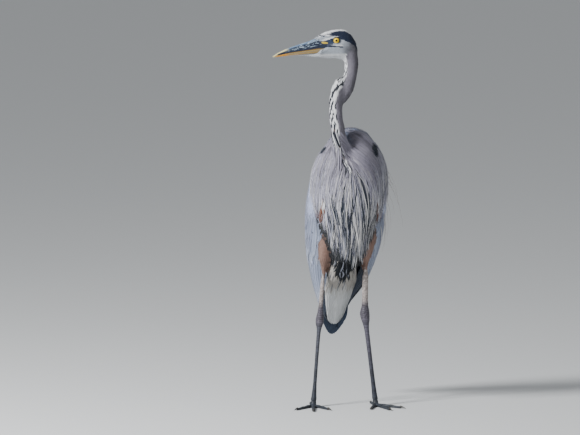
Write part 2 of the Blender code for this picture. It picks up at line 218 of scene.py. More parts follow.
def put_attributes(mesh, kind, **arrays):
    """Stores arrays, with a row for each vertex, as named attributes of the mesh."""
    field = {"FLOAT": "value", "FLOAT_VECTOR": "vector", "FLOAT_COLOR": "color"}[kind]
    for name, values in arrays.items():
        values = np.asarray(values, np.float32)
        if kind == "FLOAT_COLOR":
            values = np.pad(values, ((0, 0), (0, 1)), constant_values=1)
        mesh.attributes.new(name, kind, "POINT").data.foreach_set(field, values.ravel())


def numbers(items, field, width, kind=np.float32):
    """One field of a mesh's vertices, loops or triangles as an array with a row for each."""
    found = np.empty(len(items) * width, kind)
    items.foreach_get(field, found)
    return found.reshape(-1, width)


def mesh_arrays(mesh):
    """Vertex places, vertex normals and triangles of a mesh as arrays."""
    mesh.calc_loop_triangles()
    places = numbers(mesh.vertices, "co", 3).astype(float)
    normals = numbers(mesh.vertex_normals, "vector", 3).astype(float)
    return places, normals, numbers(mesh.loop_triangles, "vertices", 3, np.int32)


def set_places(mesh, places):
    mesh.vertices.foreach_set("co", np.asarray(places, np.float32).ravel())
    mesh.update()

# %% [markdown]
# ## Fusing solids into one surface
# The flesh of a bird is one body under one skin, but the frame holds it as separate solids with thin
# gaps. Each copy is swollen a little so that neighbours overlap, and a voxel remesh melts them
# together. Smoothing then takes off the facets, and the result is drawn in by the depth of the coat.

# %% Fused surfaces


def outward(mesh):
    """Turns all faces of a closed mesh outwards and shades them smooth."""
    shape = bmesh.new()
    shape.from_mesh(mesh)
    bmesh.ops.recalc_face_normals(shape, faces=shape.faces)
    shape.to_mesh(mesh)
    shape.free()
    mesh.shade_smooth()
    return mesh


def loft(name, rings):
    """A closed mesh through rings of points that all have the same count."""
    rings = np.asarray(rings)
    count, sides, _ = rings.shape
    index = np.arange(count * sides).reshape(count, sides)
    turned = np.roll(index, -1, axis=1)
    quads = np.stack([index[:-1], turned[:-1], turned[1:], index[1:]], -1).reshape(-1, 4)
    mesh = bpy.data.meshes.new(name)
    caps = [index[0].tolist(), index[-1].tolist()]
    mesh.from_pydata(rings.reshape(-1, 3).tolist(), [], quads.tolist() + caps)
    return outward(mesh)


def fused(name, nodes, voxel, smoothing, swell=0.5, extra=()):
    """One smooth surface over copies of solids that are swollen by a few tenths of a millimetre."""
    joined = bmesh.new()
    for form in extra:
        joined.from_mesh(form)
    for node in nodes:
        piece = bmesh.new()
        piece.from_mesh(frame["nodes"][node].data)
        bmesh.ops.remove_doubles(piece, verts=piece.verts, dist=1e-6)
        piece.normal_update()
        grown = [v.co + v.normal * swell * MM for v in piece.verts]
        for vertex, place in zip(piece.verts, grown):
            vertex.co = place
        part = bpy.data.meshes.new("part")
        piece.to_mesh(part)
        piece.free()
        joined.from_mesh(part)
        bpy.data.meshes.remove(part)
    mesh = bpy.data.meshes.new(name)
    joined.to_mesh(mesh)
    joined.free()
    obj = link_object(name, mesh)
    remesh = obj.modifiers.new("Remesh", "REMESH")
    remesh.mode = "VOXEL"
    remesh.voxel_size = voxel * MM
    remesh.use_smooth_shade = True
    smooth = obj.modifiers.new("Smooth", "SMOOTH")
    smooth.factor = 0.5
    smooth.iterations = smoothing
    evaluated = obj.evaluated_get(bpy.context.evaluated_depsgraph_get())
    result = bpy.data.meshes.new_from_object(evaluated)
    bpy.data.objects.remove(obj)
    return result


def tree_of(points):
    """A search tree that finds the points near a place."""
    tree = KDTree(len(points))
    for i, point in enumerate(points):
        tree.insert(point, i)
    tree.balance()
    return tree


def thinned(points, gap):
    """Drops each point that lies within the gap of one kept before. The gap may be one for each point."""
    gap = np.broadcast_to(gap, len(points))
    tree = tree_of(points)
    taken, dropped = np.zeros((2, len(points)), bool)
    for i, point in enumerate(points):
        if not dropped[i]:
            taken[i] = True
            for _, j, _ in tree.find_range(point, gap[i]):
                dropped[j] = True
    return taken


def bvh_of(mesh):
    places, _, triangles = mesh_arrays(mesh)
    return BVHTree.FromPolygons([Vector(p) for p in places], [tuple(int(i) for i in t) for t in triangles])

# %% [markdown]
# ## Flesh, legs and face
# One fused surface is made for the body and one, much finer, for the legs. The solid head is plain,
# so four rounded forms fill it out before it is fused: forehead, crown, cheek and chin. The mesh is
# then split finer round the eye, where the markings are small.

# %% Flesh
FLESH = (
    "head", "neck_upper", "neck_lower", "trunk", "wing_left", "wing_right", "thigh_left", "thigh_right",
)
LEGS = tuple(f"{part}_{side}" for side in ("left", "right") for part in ("shank", "tarsus", "foot"))
FEATHERED = FLESH + ("breast_plumes", "flight_feathers_left", "flight_feathers_right", "tail")
# Rows of (forward, low, high, half width) in mm.
FACE_FORMS = {
    "forehead": (
        (56, -6, 4.2, 4.5), (48, -6, 9.2, 6.5), (40, -6, 14.2, 8.5), (31, -6, 18.6, 10),
        (22, -6, 22.2, 11.5), (12, -6, 24.8, 13), (2, -6, 26.2, 14), (-8, -4, 26.4, 14.5),
    ),
    "crown": (
        (0, -4, 26.6, 12), (-8, -4, 27.3, 13), (-16, -4, 27.2, 13), (-24, -6, 26, 12.6),
        (-31, -8, 23.2, 11.8), (-38, -11, 18.2, 10.6), (-45, -15, 11.6, 9), (-51, -20, 2.6, 7.6),
        (-55, -24, -5, 6),
    ),
    "cheek": (
        (-6, -36, -12, 17.2), (8, -35, -14, 16), (18, -34, -14.8, 14.9), (28, -33, -15.6, 14.3),
        (37, -32, -16.4, 13.8), (43, -31, -19.5, 11.5),
    ),
    "chin": (
        (4, -45.5, -26, 12), (20, -45, -26, 10.5), (36, -43, -26, 9), (52, -41.4, -26, 7.5),
        (66, -40, -26, 6), (80, -38.6, -27, 4.8), (95, -36.6, -28, 3.4),
    ),
}


def face_form(name):
    """A rounded form along the head, with an upright ellipse at each row."""
    turns = np.linspace(0, math.tau, 24, endpoint=False)
    rings = []
    for u, low, high, half in FACE_FORMS[name]:
        height = (low + high) / 2 + (high - low) / 2 * np.sin(turns)
        rings.append(from_head(np.stack([np.full(24, u), half * np.cos(turns), height], 1)))
    return loft(name, rings)


def refined(mesh, low, high, cuts):
    """Splits the edges inside a box of the head's own frame, so that the face keeps fine markings."""
    shape = bmesh.new()
    shape.from_mesh(mesh)
    places = to_head(np.array([v.co[:] for v in shape.verts]))
    inside = ((places > low) & (places < high)).all(1)
    edges = [e for e in shape.edges if inside[e.verts[0].index] and inside[e.verts[1].index]]
    bmesh.ops.subdivide_edges(shape, edges=edges, cuts=cuts, use_grid_fill=True)
    bmesh.ops.triangulate(shape, faces=[f for f in shape.faces if len(f.verts) > 4])
    shape.to_mesh(mesh)
    shape.free()


body_mesh = fused("body", FLESH, 4.3, 5, extra=[face_form(name) for name in FACE_FORMS])
refined(body_mesh, (-14, -30, -22), (46, 30, 14), 2)
leg_mesh = fused("legs", LEGS, 0.95, 12)
outline_bvh = bvh_of(fused("coat_outline", FEATHERED, 3.6, 6, 0.4))
print("body vertices", len(body_mesh.vertices), "leg vertices", len(leg_mesh.vertices))

# %% [markdown]
# ## Regions
# Each point of the skin belongs to the solid it lies nearest to. The coat is thin on the face, a
# little deeper on the neck, and deep on the body, so the skin is drawn in by that much. The thighs
# narrow towards the knee, and the neck is made fuller in front and under the head.

# %% Regions
COAT_DEPTH = {
    "head": 1.6, "neck_upper": 2.8, "neck_lower": 2.8, "trunk": 4.5,
    "wing_left": 1.8, "wing_right": 1.8, "thigh_left": 3.0, "thigh_right": 3.0,
}
THIGH_NARROWING = 0.33
NECK_FULLNESS = 3.2
THROAT_FULLNESS = 5.5
node_trees = {node: bvh_of(frame["nodes"][node].data) for node in FLESH}


def leg_lean(side, height):
    """The left leg leans in a little at the knee, in mm."""
    return np.interp(height, (232, 300, 350, 440), (0, -3.6, -4.6, 0)) * (side == "left")


def nearest_region(points):
    """Index in FLESH of the solid nearest to each point."""
    best = np.full(len(points), np.inf)
    region = np.zeros(len(points), int)
    for index, node in enumerate(FLESH):
        low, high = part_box(node)
        near = np.all((points > np.array(low) - 0.02) & (points < np.array(high) + 0.02), axis=1)
        for i in np.flatnonzero(near):
            distance = node_trees[node].find_nearest(Vector(points[i]))[3]
            if distance < best[i]:
                best[i], region[i] = distance, index
    return region


def evened(values, triangles, rounds):
    """Averages a value over the mesh so that it changes without steps."""
    for _ in range(rounds):
        total = np.zeros(len(values))
        count = np.zeros(len(values))
        for a, b in ((0, 1), (1, 2), (2, 0)):
            np.add.at(total, triangles[:, a], values[triangles[:, b]])
            np.add.at(count, triangles[:, a], 1)
        values = (values + total / count) / 2
    return values


body_places, body_normals, body_triangles = mesh_arrays(body_mesh)
body_region = nearest_region(body_places)
for side in ("left", "right"):
    thigh = np.flatnonzero(body_region == FLESH.index("thigh_" + side))
    spots = to_bird(body_places[thigh])
    lowest = spots[:, 2].min()
    knee = spots[spots[:, 2] < lowest + 9, :2].mean(0)
    narrow = 1 - THIGH_NARROWING * ramp(lowest + 46, lowest, spots[:, 2])
    spots[:, :2] = knee + (spots[:, :2] - knee) * narrow[:, None]
    spots[:, 0] += leg_lean(side, spots[:, 2])
    body_places[thigh] = from_bird(spots)
neck = np.isin(body_region, [FLESH.index("neck_upper"), FLESH.index("neck_lower")])
height = to_bird(body_places)[:, 2]
forward = NECK_FULLNESS * np.clip(-body_normals[:, 0], 0, 1)
forward = forward * ramp(640, 700, height) * ramp(808, 782, height)
rise = THROAT_FULLNESS * np.clip(body_normals[:, 2], 0, 1) * np.exp(-(((height - 790) / 16) ** 2))
for axis, amount in ((0, -forward), (2, rise)):
    body_places[:, axis] += evened(amount * neck, body_triangles, 2) * MM
depth = evened(np.array([COAT_DEPTH[node] for node in FLESH])[body_region], body_triangles, 5)
set_places(body_mesh, body_places - body_normals * (depth + 0.5)[:, None] * MM)
print("skin regions", {node: int((body_region == i).sum()) for i, node in enumerate(FLESH)})

# %% [markdown]
# ## Scales of the legs
# A heron's leg is bare from the shank down, in horny scales: a ladder of broad scutes down the front
# of the foot bone and along the top of each toe, and small six-sided scales everywhere else. The
# seams between them are grooves, found here as the places almost as near to a second scale's middle
# as to the nearest one. The heel is swollen and creased across. Each leg then gets its own width at
# each height, and its upper end runs up inside the thigh.

# %% Scales
# Widths of a scale, a scute of the foot bone and a scute of a toe, in mm.
SCALE = 3.1
SCUTE = 4.4
TOE_SCUTE = 3.4


def leg_scales(places, normals):
    """Groove depth in mm and a random tone for each point of the legs."""
    bird = to_bird(places)
    grid = np.round(bird[::3] / SCALE).astype(int)
    seeds = np.unique(grid, axis=0) * SCALE
    seeds = seeds + np.random.default_rng(5).uniform(-0.35, 0.35, seeds.shape) * SCALE
    tree = tree_of(seeds)
    gap, own = np.empty(len(bird)), np.empty(len(bird), int)
    for i, point in enumerate(bird):
        near = tree.find_n(point, 2)
        gap[i], own[i] = near[1][2] - near[0][2], near[0][1]
    groove = ramp(0.75, 0.1, gap) * 0.30
    tone = np.random.default_rng(6).uniform(0, 1, len(seeds))[own]
    z = bird[:, 2]
    front = (normals[:, 1] < -0.55) & (z > 22) & (z < 212)
    row = z / SCUTE + np.where(bird[:, 0] > 0, 0.4, 0.0)
    ladder = ramp(0.16, 0.03, np.abs(row - np.round(row))) * 0.38
    row_tone = (np.sin(np.floor(row + 0.5) * 78.233) * 4375.85) % 1
    groove = np.where(front, ladder, groove)
    tone = np.where(front, row_tone, tone)
    for side in ("left", "right"):
        ankle = to_bird(middle("foot_" + side))
        reach = np.hypot(bird[:, 0] - ankle[0], bird[:, 1] - ankle[1])
        toe = (z < 14) & (normals[:, 2] > 0.1) & (reach < 120)
        ring = reach / TOE_SCUTE
        groove = np.where(toe, ramp(0.2, 0.04, np.abs(ring - np.round(ring))) * 0.35, groove)
        tone = np.where(toe, (np.sin(np.floor(ring + 0.5) * 12.9898) * 4375.85) % 1, tone)
        top = to_bird(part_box("tarsus_" + side)[1])[2]
        crease = np.abs(z - top + 4) < 15
        fold = (z - top) / 4.6 + np.sin(bird[:, 0] * 0.5) * 0.12
        groove = np.where(crease, ramp(0.24, 0.03, np.abs(fold - np.round(fold))) * 0.75, groove)
    return groove, tone


LEG_HEIGHTS = (20, 55, 185, 204, 236, 252, 300)
LEG_WIDTHS = {
    "left": (1, 0.94, 0.95, 1.12, 1.12, 1.15, 1.15),
    "right": (1, 0.78, 0.76, 0.94, 0.94, 0.76, 0.74),
}
HEEL_DROP = {"left": 2.5, "right": 9.0}


def slimmed(spots, side):
    """Sets a leg's width at each height, and tapers its upper end, which goes up inside the thigh."""
    z = spots[:, 2]
    heights = np.arange(24, z.max(), 8)
    middles = np.array([spots[np.abs(z - h) < 6, :2].mean(0) for h in heights])
    centre = np.stack([np.interp(z, heights, middles[:, axis]) for axis in (0, 1)], 1)
    top = 1 - 0.42 * ramp(z.max() - 24, z.max() - 3, z)
    size = np.stack([np.interp(z, LEG_HEIGHTS, LEG_WIDTHS[side]) * top, top], 1)
    flat = centre + (spots[:, :2] - centre) * size
    return np.column_stack([flat, z + 12 * ramp(z.max() - 9, z.max(), z)])


leg_places, leg_normals, _ = mesh_arrays(leg_mesh)
scale_groove, scale_tone = leg_scales(leg_places, leg_normals)
spots = to_bird(leg_places + leg_normals * (-0.1 - scale_groove)[:, None] * MM)
for side, sign in (("left", 1), ("right", -1)):
    own = np.flatnonzero((spots[:, 0] * sign > 0) & (spots[:, 2] > 20))
    leg = slimmed(spots[own], side)
    leg[:, 2] -= HEEL_DROP[side] * np.exp(-(((leg[:, 2] - 216) / 34) ** 2))
    leg[:, 0] += leg_lean(side, leg[:, 2])
    spots[own] = leg
spots[:, 2] = np.maximum(spots[:, 2], 0.0)
set_places(leg_mesh, from_bird(spots))
print("grooved share of the legs", round(float((scale_groove > 0.1).mean()), 2))

# %% [markdown]
# ## Eyelids
# Each eye sits in a thin ring of bare, wrinkled lid. The ring is a small tube laid round the eyeball,
# a little thicker above, where the lid overhangs.

# %% Lids
GAZE_TURN = 20.0
LID_ANGLE = 57.0


def gaze(side):
    """The way an eye looks: outwards and a little forward."""
    turn = math.radians(GAZE_TURN)
    outwards = HEAD_LEFT if side == "left" else -HEAD_LEFT
    return (outwards * math.cos(turn) + HEAD_FORWARD * math.sin(turn)).normalized()


def lid_mesh(side):
    look = gaze(side)
    up = (UP - look * UP.dot(look)).normalized()
    along = up.cross(look)
    rings, sides = 72, 14
    places, faces = [], []
    for i in range(rings):
        a = math.tau * i / rings
        polar = math.radians(LID_ANGLE + 2.0 * math.cos(2 * a))
        out = up * math.sin(a) + along * math.cos(a)
        radial = (look * math.cos(polar) + out * math.sin(polar)).normalized()
        centre = EYES[side] + radial * EYE_RADIUS * 0.995
        thick = (0.95 + 0.45 * max(math.sin(a), 0) + 0.12 * math.sin(a * 11)) * MM
        across = (out * math.cos(polar) - look * math.sin(polar)).normalized()
        for k in range(sides):
            b = math.tau * k / sides
            places.append(centre + (across * math.cos(b) * 1.25 + radial * math.sin(b)) * thick)
            j, m = (i + 1) % rings, (k + 1) % sides
            faces.append((i * sides + k, i * sides + m, j * sides + m, j * sides + k))
    mesh = bpy.data.meshes.new("lid_" + side)
    mesh.from_pydata(places, [], faces)
    return outward(mesh)


lids = [lid_mesh("left"), lid_mesh("right")]
print("lid points", len(lids[0].vertices))

# %% [markdown]
# ## One skin
# Body, legs and lids are joined in one object, the bird's skin, and unwrapped once. Every feather
# later keeps a small patch of this map at its own root, so that a baked picture of the coat has a
# place for each feather.

# %% One skin
FEATHER_PATCH = 0.003
LEG, LID = len(FLESH), len(FLESH) + 1
lid_points = sum(len(lid.vertices) for lid in lids)
skin_region = np.concatenate([body_region, np.full(len(leg_places), LEG), np.full(lid_points, LID)])
parts = [link_object(mesh.name, mesh) for mesh in (body_mesh, leg_mesh, *lids)]
for obj in bpy.context.view_layer.objects:
    obj.select_set(False)
for part in parts:
    part.select_set(True)
bpy.context.view_layer.objects.active = parts[0]
bpy.ops.object.join()
bpy.ops.object.mode_set(mode="EDIT")
bpy.ops.mesh.select_all(action="SELECT")
bpy.ops.uv.smart_project(angle_limit=math.radians(66), island_margin=0.001)
bpy.ops.object.mode_set(mode="OBJECT")
skin = parts[0]
skin.name = "skin"
skin_mesh = skin.data
skin_mesh.name = "skin"
skin_mesh.uv_layers[0].name = "OFBake"
skin_places, skin_normals, skin_triangles = mesh_arrays(skin_mesh)
loops = numbers(skin_mesh.loop_triangles, "loops", 3, np.int32)
triangle_uv = numbers(skin_mesh.uv_layers[0].uv, "vector", 2)[loops]
skin_bvh = bvh_of(skin_mesh)
print("skin triangles", len(triangle_uv))


def root_patch(points):
    """The unwrap's coordinates at the skin nearest to each point."""
    found = np.empty((len(points), 2))
    for i, point in enumerate(points):
        place, _, index, _ = skin_bvh.find_nearest(Vector(point))
        corners = skin_places[skin_triangles[index]]
        weights = 1 / (np.linalg.norm(corners - np.array(place), axis=1) + 1e-6)
        found[i] = weights @ triangle_uv[index] / weights.sum()
    return found

# %% [markdown]
# ## Lie of the coat
# Feathers point away from the bill: back over the crown, down the neck, and down and back along the
# body. On the neck the lie follows its centre line, which is given here by a few points.

# %% Lie
NECK_LINE = np.array((
    (-12, -99, 880), (-6, -99, 832), (-7, -102, 812), (-18, -111, 774), (-32, -117, 750), (-45, -124, 735),
    (-46, -127, 706), (-42, -125, 681), (-38, -117, 650), (-21, -96, 606), (-6, -70, 560),
))
# Places on the head, and the way the feathers there point.
HEAD_GUIDES = np.array((
    ((32, 0, 12), (-1, 0, 0.45)), ((10, 0, 24), (-1, 0, 0.1)), ((-15, 0, 25), (-1, 0, -0.15)),
    ((-35, 0, 15), (-1, 0, -0.7)), ((-52, 0, -2), (-0.5, 0, -1)), ((-58, 0, -25), (-0.1, 0, -1)),
    ((30, 11, -6), (-1, 0, 0.05)), ((30, -11, -6), (-1, 0, 0.05)), ((0, 19, -14), (-1, 0, -0.12)),
    ((0, -19, -14), (-1, 0, -0.12)), ((-28, 20, -14), (-1, 0, -0.4)), ((-28, -20, -14), (-1, 0, -0.4)),
    ((-45, 15, -32), (-0.35, 0, -1)), ((-45, -15, -32), (-0.35, 0, -1)), ((62, 0, -34), (-1, 0, -0.08)),
    ((30, 0, -41), (-1, 0, -0.06)), ((2, 0, -44), (-1, 0, -0.3)), ((-14, 0, -50), (-0.3, 0, -1)),
))


def head_lie(points):
    places = to_head(points)
    distance = np.linalg.norm(places[:, None] - HEAD_GUIDES[:, 0], axis=-1)
    weight = 1 / (distance ** 3 + 30)
    return unit((weight[..., None] * HEAD_GUIDES[:, 1]).sum(1)) @ HEAD_AXES


def neck_lie(points):
    places = to_bird(points)
    steps = unit(np.diff(NECK_LINE, axis=0))
    centres = (NECK_LINE[:-1] + NECK_LINE[1:]) / 2
    weight = 1 / (np.linalg.norm(places[:, None] - centres, axis=-1) ** 4 + 200)
    return unit((weight[..., None] * steps).sum(1))


def body_lie(points):
    """Down and back, fanning out from the base of the neck over the breast and mantle."""
    places = to_bird(points)
    away = places - np.array((-10, -85, 620))
    away[:, 2] = np.minimum(away[:, 2], 0)
    near = 1 - ramp(60, 190, np.linalg.norm(away, axis=1))
    return unit(blend(np.array((0, 0.40, -0.92)), unit(away) * 1.1, near * 0.6))


def wing_lie(points):
    return unit(np.tile((0, 0.47, -0.88), (len(points), 1)))


def thigh_lie(points):
    return unit(np.tile((0, 0.12, -1.0), (len(points), 1)))


def along_surface(directions, normals):
    return unit(directions - normals * (directions * normals).sum(-1, keepdims=True))

# %% [markdown]
# ## Plumage
# These are the bird's own markings, as a function of the place on it: white crown between two black
# stripes that meet at the nape, white cheek and chin, a mauve-grey neck with a white front dashed in
# black and rust, black shoulder patches, chestnut along the bend of the wing, rufous thighs, a black
# belly and pale under-tail coverts. Skin and coat both ask the same function.

# %% Colours
WHITE = linear("#dcdde0")
CHIN = linear("#c6c9cd")
CHEEK = linear("#a0a7b0")
STRIPE = linear("#162138")
LORE = linear("#1f2b41")
YELLOW = linear("#d0b13a")
NAPE = linear("#504e55")
NECK_SIDE = linear("#6c6973")
NECK_BACK = linear("#4a484f")
DASH = linear("#1c212b")
RUST = linear("#8d7166")
MANTLE = linear("#7c849c")
BACK = linear("#6e788c")
BREAST = linear("#565a66")
SHOULDER = linear("#17222f")
RUFOUS = linear("#7c6156")
BELLY = linear("#15191f")
UNDERTAIL = linear("#c3c5c6")
COVERT = linear("#adb6d6")
CHESTNUT = linear("#6a4232")
SLATE = linear("#2a3648")


def speckle(points, size, seed):
    """A smooth random number from 0 to 1 that changes over the given size in millimetres."""
    turn = np.random.default_rng(seed).normal(size=(5, 3))
    phase = np.random.default_rng(seed + 1).uniform(0, 6.3, 5)
    waves = np.sin(points @ turn.T / size * 2.2 + phase).sum(-1)
    return np.clip(0.5 + waves / 5, 0, 1)


# The edges of the black stripe and the brow line, as heights w at places u.
STRIPE_LOW = (
    (-52, -47, -40, -30, -20, -11, -3, 4, 16, 26),
    (-24, -16, -10, -4.6, -0.4, 3.4, 8.8, 10.8, 10.4, 9.0),
)
STRIPE_HIGH = (
    (-50, -40, -32, -24, -12, 0, 11, 20, 30, 44),
    (-1, 10.6, 17.0, 20.8, 21.9, 20.4, 18.2, 15.6, 13.0, 9.0),
)
BROW = ((-8, 0, 10, 20, 26, 34, 40), (8.6, 8.8, 6.5, 3.6, 2.4, -0.2, -1.5))


def head_colour(points):
    """Colours of the face from the head's own coordinates: u forward, w up, in mm."""
    place = to_head(points)
    u, _, w = place.T
    low, high, brow_line = (np.interp(u, *line) for line in (STRIPE_LOW, STRIPE_HIGH, BROW))
    fleck = speckle(place * (0.30, 1.0, 1.1), 3.4, 21)
    stripe = blend(STRIPE, WHITE, ramp(0.49, 0.57, fleck) * ramp(9, 19, u))
    wrinkle = ramp(0.56, 0.66, speckle(place * (0.25, 1.0, 1.3), 2.6, 31))
    lore = blend(LORE, LORE * 1.9, wrinkle * 0.8 * ramp(21, 12, u))
    lore = blend(lore, CHEEK * 0.55, ramp(-5, -11, w) * ramp(20, 10, u) * 0.6)
    behind = 3.5 + 0.75 * np.maximum(-3 - w, 0) + 5 * (speckle(place, 3.0, 41) - 0.5)
    bare = ramp(behind - 2.2, behind + 2.2, u) * ramp(-15.5, -13.5, w)
    half = np.interp(u, (-8, 0, 10, 20, 26, 34), (0.8, 1.5, 1.4, 1.6, 2.3, 0.8))
    brow = ramp(half + 0.7, half - 0.4, np.abs(w - brow_line))
    under = ramp(2.2, 1.2, np.abs(w + 11.6)) * ramp(-16, -12, u) * ramp(3, -1, u)
    line_middle = np.interp(u, (-20, -13, 5, 20, 38), (-18.5, -15.5, -13.8, -14.2, -17.5))
    line = ramp(1.7, 0.9, np.abs(w - line_middle)) * ramp(-18, -13, u)
    patch = ((u - 27.5) / 7.2) ** 2 + ((w + 5.2 - (u - 27) * 0.12) / 2.4) ** 2
    return layered(
        CHEEK,
        (NAPE, ramp(-12, -42, u) * ramp(2, -10, w) * 0.9),
        (NAPE, ramp(-10, -22, u) * ramp(-8, -20, w) * 0.5),
        (WHITE, ramp(-31, -34, w)),
        (CHIN, ramp(-28, -36, w) * ramp(-34, -12, u)),
        (stripe, ramp(-0.8, 0.8, w - low) * (w > -22)),
        (WHITE, ramp(-0.6, 1.0, w - high) * (w > -4) * ramp(38, 31, u)),
        (lore, bare * ramp(0.5, -1.0, w - brow_line)),
        (WHITE, brow * ramp(-9, -6, u) * ramp(37, 31, u)),
        (WHITE, under * 0.6),
        (STRIPE, line),
        (YELLOW, ramp(1.35, 0.8, patch)),
    )


def ventral_angle(height):
    """Heading of the neck's front, in degrees from -X towards -Y, at a height in millimetres."""
    return np.interp(height, (560, 600, 640, 700, 760, 800, 860), (90, 80, 66, 48, 30, 16, 10))


def neck_colour(points):
    place = to_bird(points)
    distance = np.linalg.norm(place[:, None] - NECK_LINE, axis=-1)
    share = 1 / (distance ** 4 + 10)
    centre = (share[..., None] * NECK_LINE).sum(1) / share.sum(1)[:, None]
    away = place - centre
    heading = np.degrees(np.arctan2(-away[:, 1], -away[:, 0]))
    turn = (heading - ventral_angle(place[:, 2]) + 180) % 360 - 180
    arc = np.radians(turn) * 18
    colour = layered(
        NECK_SIDE, (NECK_BACK, ramp(70, 165, np.abs(turn))), (WHITE, ramp(12.2, 9.0, np.abs(arc)))
    )
    column = np.round(arc / 3.1)
    row = np.floor(place[:, 2] / 13 + column * 0.37)
    dash = (np.sin(row * 12.9898 + column * 4.1414) * 43758.5453) % 1
    dashed = ((row + column) % 2 == 0) & (dash > 0.26) & (np.abs(column) <= 3) & (place[:, 2] < 832)
    colour = np.where(dashed[:, None], DASH, colour)
    rusty = (column == 0) & (dash < 0.22) & (place[:, 2] < 720)
    return np.where(rusty[:, None], RUST, colour)


def shoulder_share(place):
    """How far a place, in bird millimetres, lies in one of the black patches on the shoulders."""
    reach = np.hypot((np.abs(place[:, 0] + 8.5) - 63.5) / 8, (place[:, 2] - 622) / 12)
    return ramp(1.15, 0.85, reach) * (place[:, 1] < -30)


def body_colour(points):
    place = to_bird(points)
    _, y, z = place.T
    front = ramp(30, -25, y - np.interp(z, (250, 400, 600), (100, 20, -60)))
    return layered(
        BACK, (MANTLE, ramp(560, 640, z)), (BREAST, front * ramp(660, 600, z)),
        (BELLY, front * ramp(500, 450, z)), (SHOULDER, shoulder_share(place)),
    )


def wing_colour(points):
    place = to_bird(points)
    _, y, z = place.T
    edge_y = np.interp(z, (350, 430, 500, 600, 640), (4, -40, -72, -108, -100))
    leading = ramp(26, 12, y - edge_y) * ramp(418, 432, z) * ramp(500, 480, z)
    return layered(
        COVERT, (BACK, speckle(place, 40, 3) * 0.35), (CHESTNUT, leading),
        (SHOULDER, shoulder_share(place)),
    )


def thigh_colour(points):
    return blend(RUFOUS, RUST, speckle(to_bird(points), 18, 5) * 0.5)


# How the feathers lie, and what colour they are, on each solid of FLESH in its order.
LIE = (head_lie, neck_lie, neck_lie, body_lie, wing_lie, wing_lie, thigh_lie, thigh_lie)
PLUMAGE = (
    head_colour, neck_colour, neck_colour, body_colour, wing_colour, wing_colour, thigh_colour, thigh_colour,
)

# %% [markdown]
# ## Feather material
# A vane is thousands of keratin barbs hooked together: matt, with a soft sheen at a glancing angle.
# Each feather brings its own two colours, one for the middle and one for the edge, and a coordinate
# across and along the vane. The barbs run out from the shaft at about forty degrees. Real ones are
# 0.3 mm apart; they are drawn three times coarser here, or they would not show. Each vane is also
# painted darker towards its root, as painted shade where the feathers over it lie.

# %% Feather material


def feather_material(name, barb, length, roughness, edge_start, shaft_tone, barb_tone, root_shade):
    """barb and length are in mm, and the tones are shares of the feather's own colour. root_shade is painted
    shade: the share at the root, where the feathers over it lie.
    """
    material, tree, shader = new_material(
        name, Roughness=roughness, Specular_IOR_Level=0.22, Sheen_Weight=0.15, Sheen_Roughness=0.4
    )
    tint = add(tree, "Attribute", attribute_name="tint")
    edge = add(tree, "Attribute", attribute_name="edge")
    vane = add(tree, "Attribute", attribute_name="vane").outputs["Vector"]
    axes = add(tree, "SeparateXYZ", {0: vane})
    along = axes.outputs["Y"]
    across = add(tree, "Math", {0: axes.outputs["X"]}, operation="ABSOLUTE")
    to_edge = add(tree, "MapRange", {0: across, 1: edge_start, 2: 1.0})
    tip = add(tree, "MapRange", {0: along, 1: 0.80, 2: 1.0, 4: 0.6})
    share = add(tree, "Math", {0: to_edge, 1: tip}, operation="MAXIMUM")
    colour = add(tree, "Mix", {0: share, 6: tint, 7: edge}, data_type="RGBA").outputs[2]
    slant = add(tree, "Math", {0: across, 1: 0.30}, operation="MULTIPLY")
    run = add(tree, "Math", {0: along, 1: slant}, operation="SUBTRACT")
    turns = add(tree, "Math", {0: run, 1: math.tau * length / barb}, operation="MULTIPLY")
    wave = add(tree, "Math", {0: turns}, operation="SINE")
    barbs = add(tree, "MapRange", {0: wave, 1: -1.0, 2: 1.0, 3: 1 - barb_tone, 4: 1 + barb_tone})
    shaft = add(tree, "MapRange", {0: across, 1: 0.03, 2: 0.12, 3: shaft_tone, 4: 1.0})
    # Painted shade: the vane darkens towards its root, where the feathers over it cover it.
    root = add(tree, "MapRange", {0: along, 1: 0.0, 2: 0.45, 3: root_shade, 4: 1.0})
    shade = add(tree, "Math", {0: barbs, 1: shaft}, operation="MULTIPLY")
    shade = add(tree, "Math", {0: shade, 1: root}, operation="MULTIPLY")
    shaded = add(tree, "VectorMath", {0: colour, 3: shade}, operation="SCALE")
    bump = add(tree, "Bump", {"Strength": 0.35, "Distance": 0.2 * MM, "Height": wave})
    give(shader, {"Base Color": shaded, "Normal": bump})
    return material


DOWN = feather_material("feather_small", 0.9, 10, 0.85, 0.35, 0.96, 0.08, 0.88)
CONTOUR = feather_material("feather_contour", 1.0, 34, 0.75, 0.45, 0.8, 0.22, 0.62)
PLUME = feather_material("feather_plume", 2.4, 110, 0.8, 0.15, 1.0, 0.10, 0.8)
FLIGHT = feather_material("feather_flight", 1.6, 180, 0.55, 0.75, 0.55, 0.12, 0.62)

# %% [markdown]
# ## A vane
# Every small feather is one thin closed lens: a row of stations with a left edge, a raised middle, a
# right edge and an underside, ending in a point at the root and at the tip. It arches a little so
# that its tip hugs the body. It is one unit long, and instances give it its size.

# %% Vane template


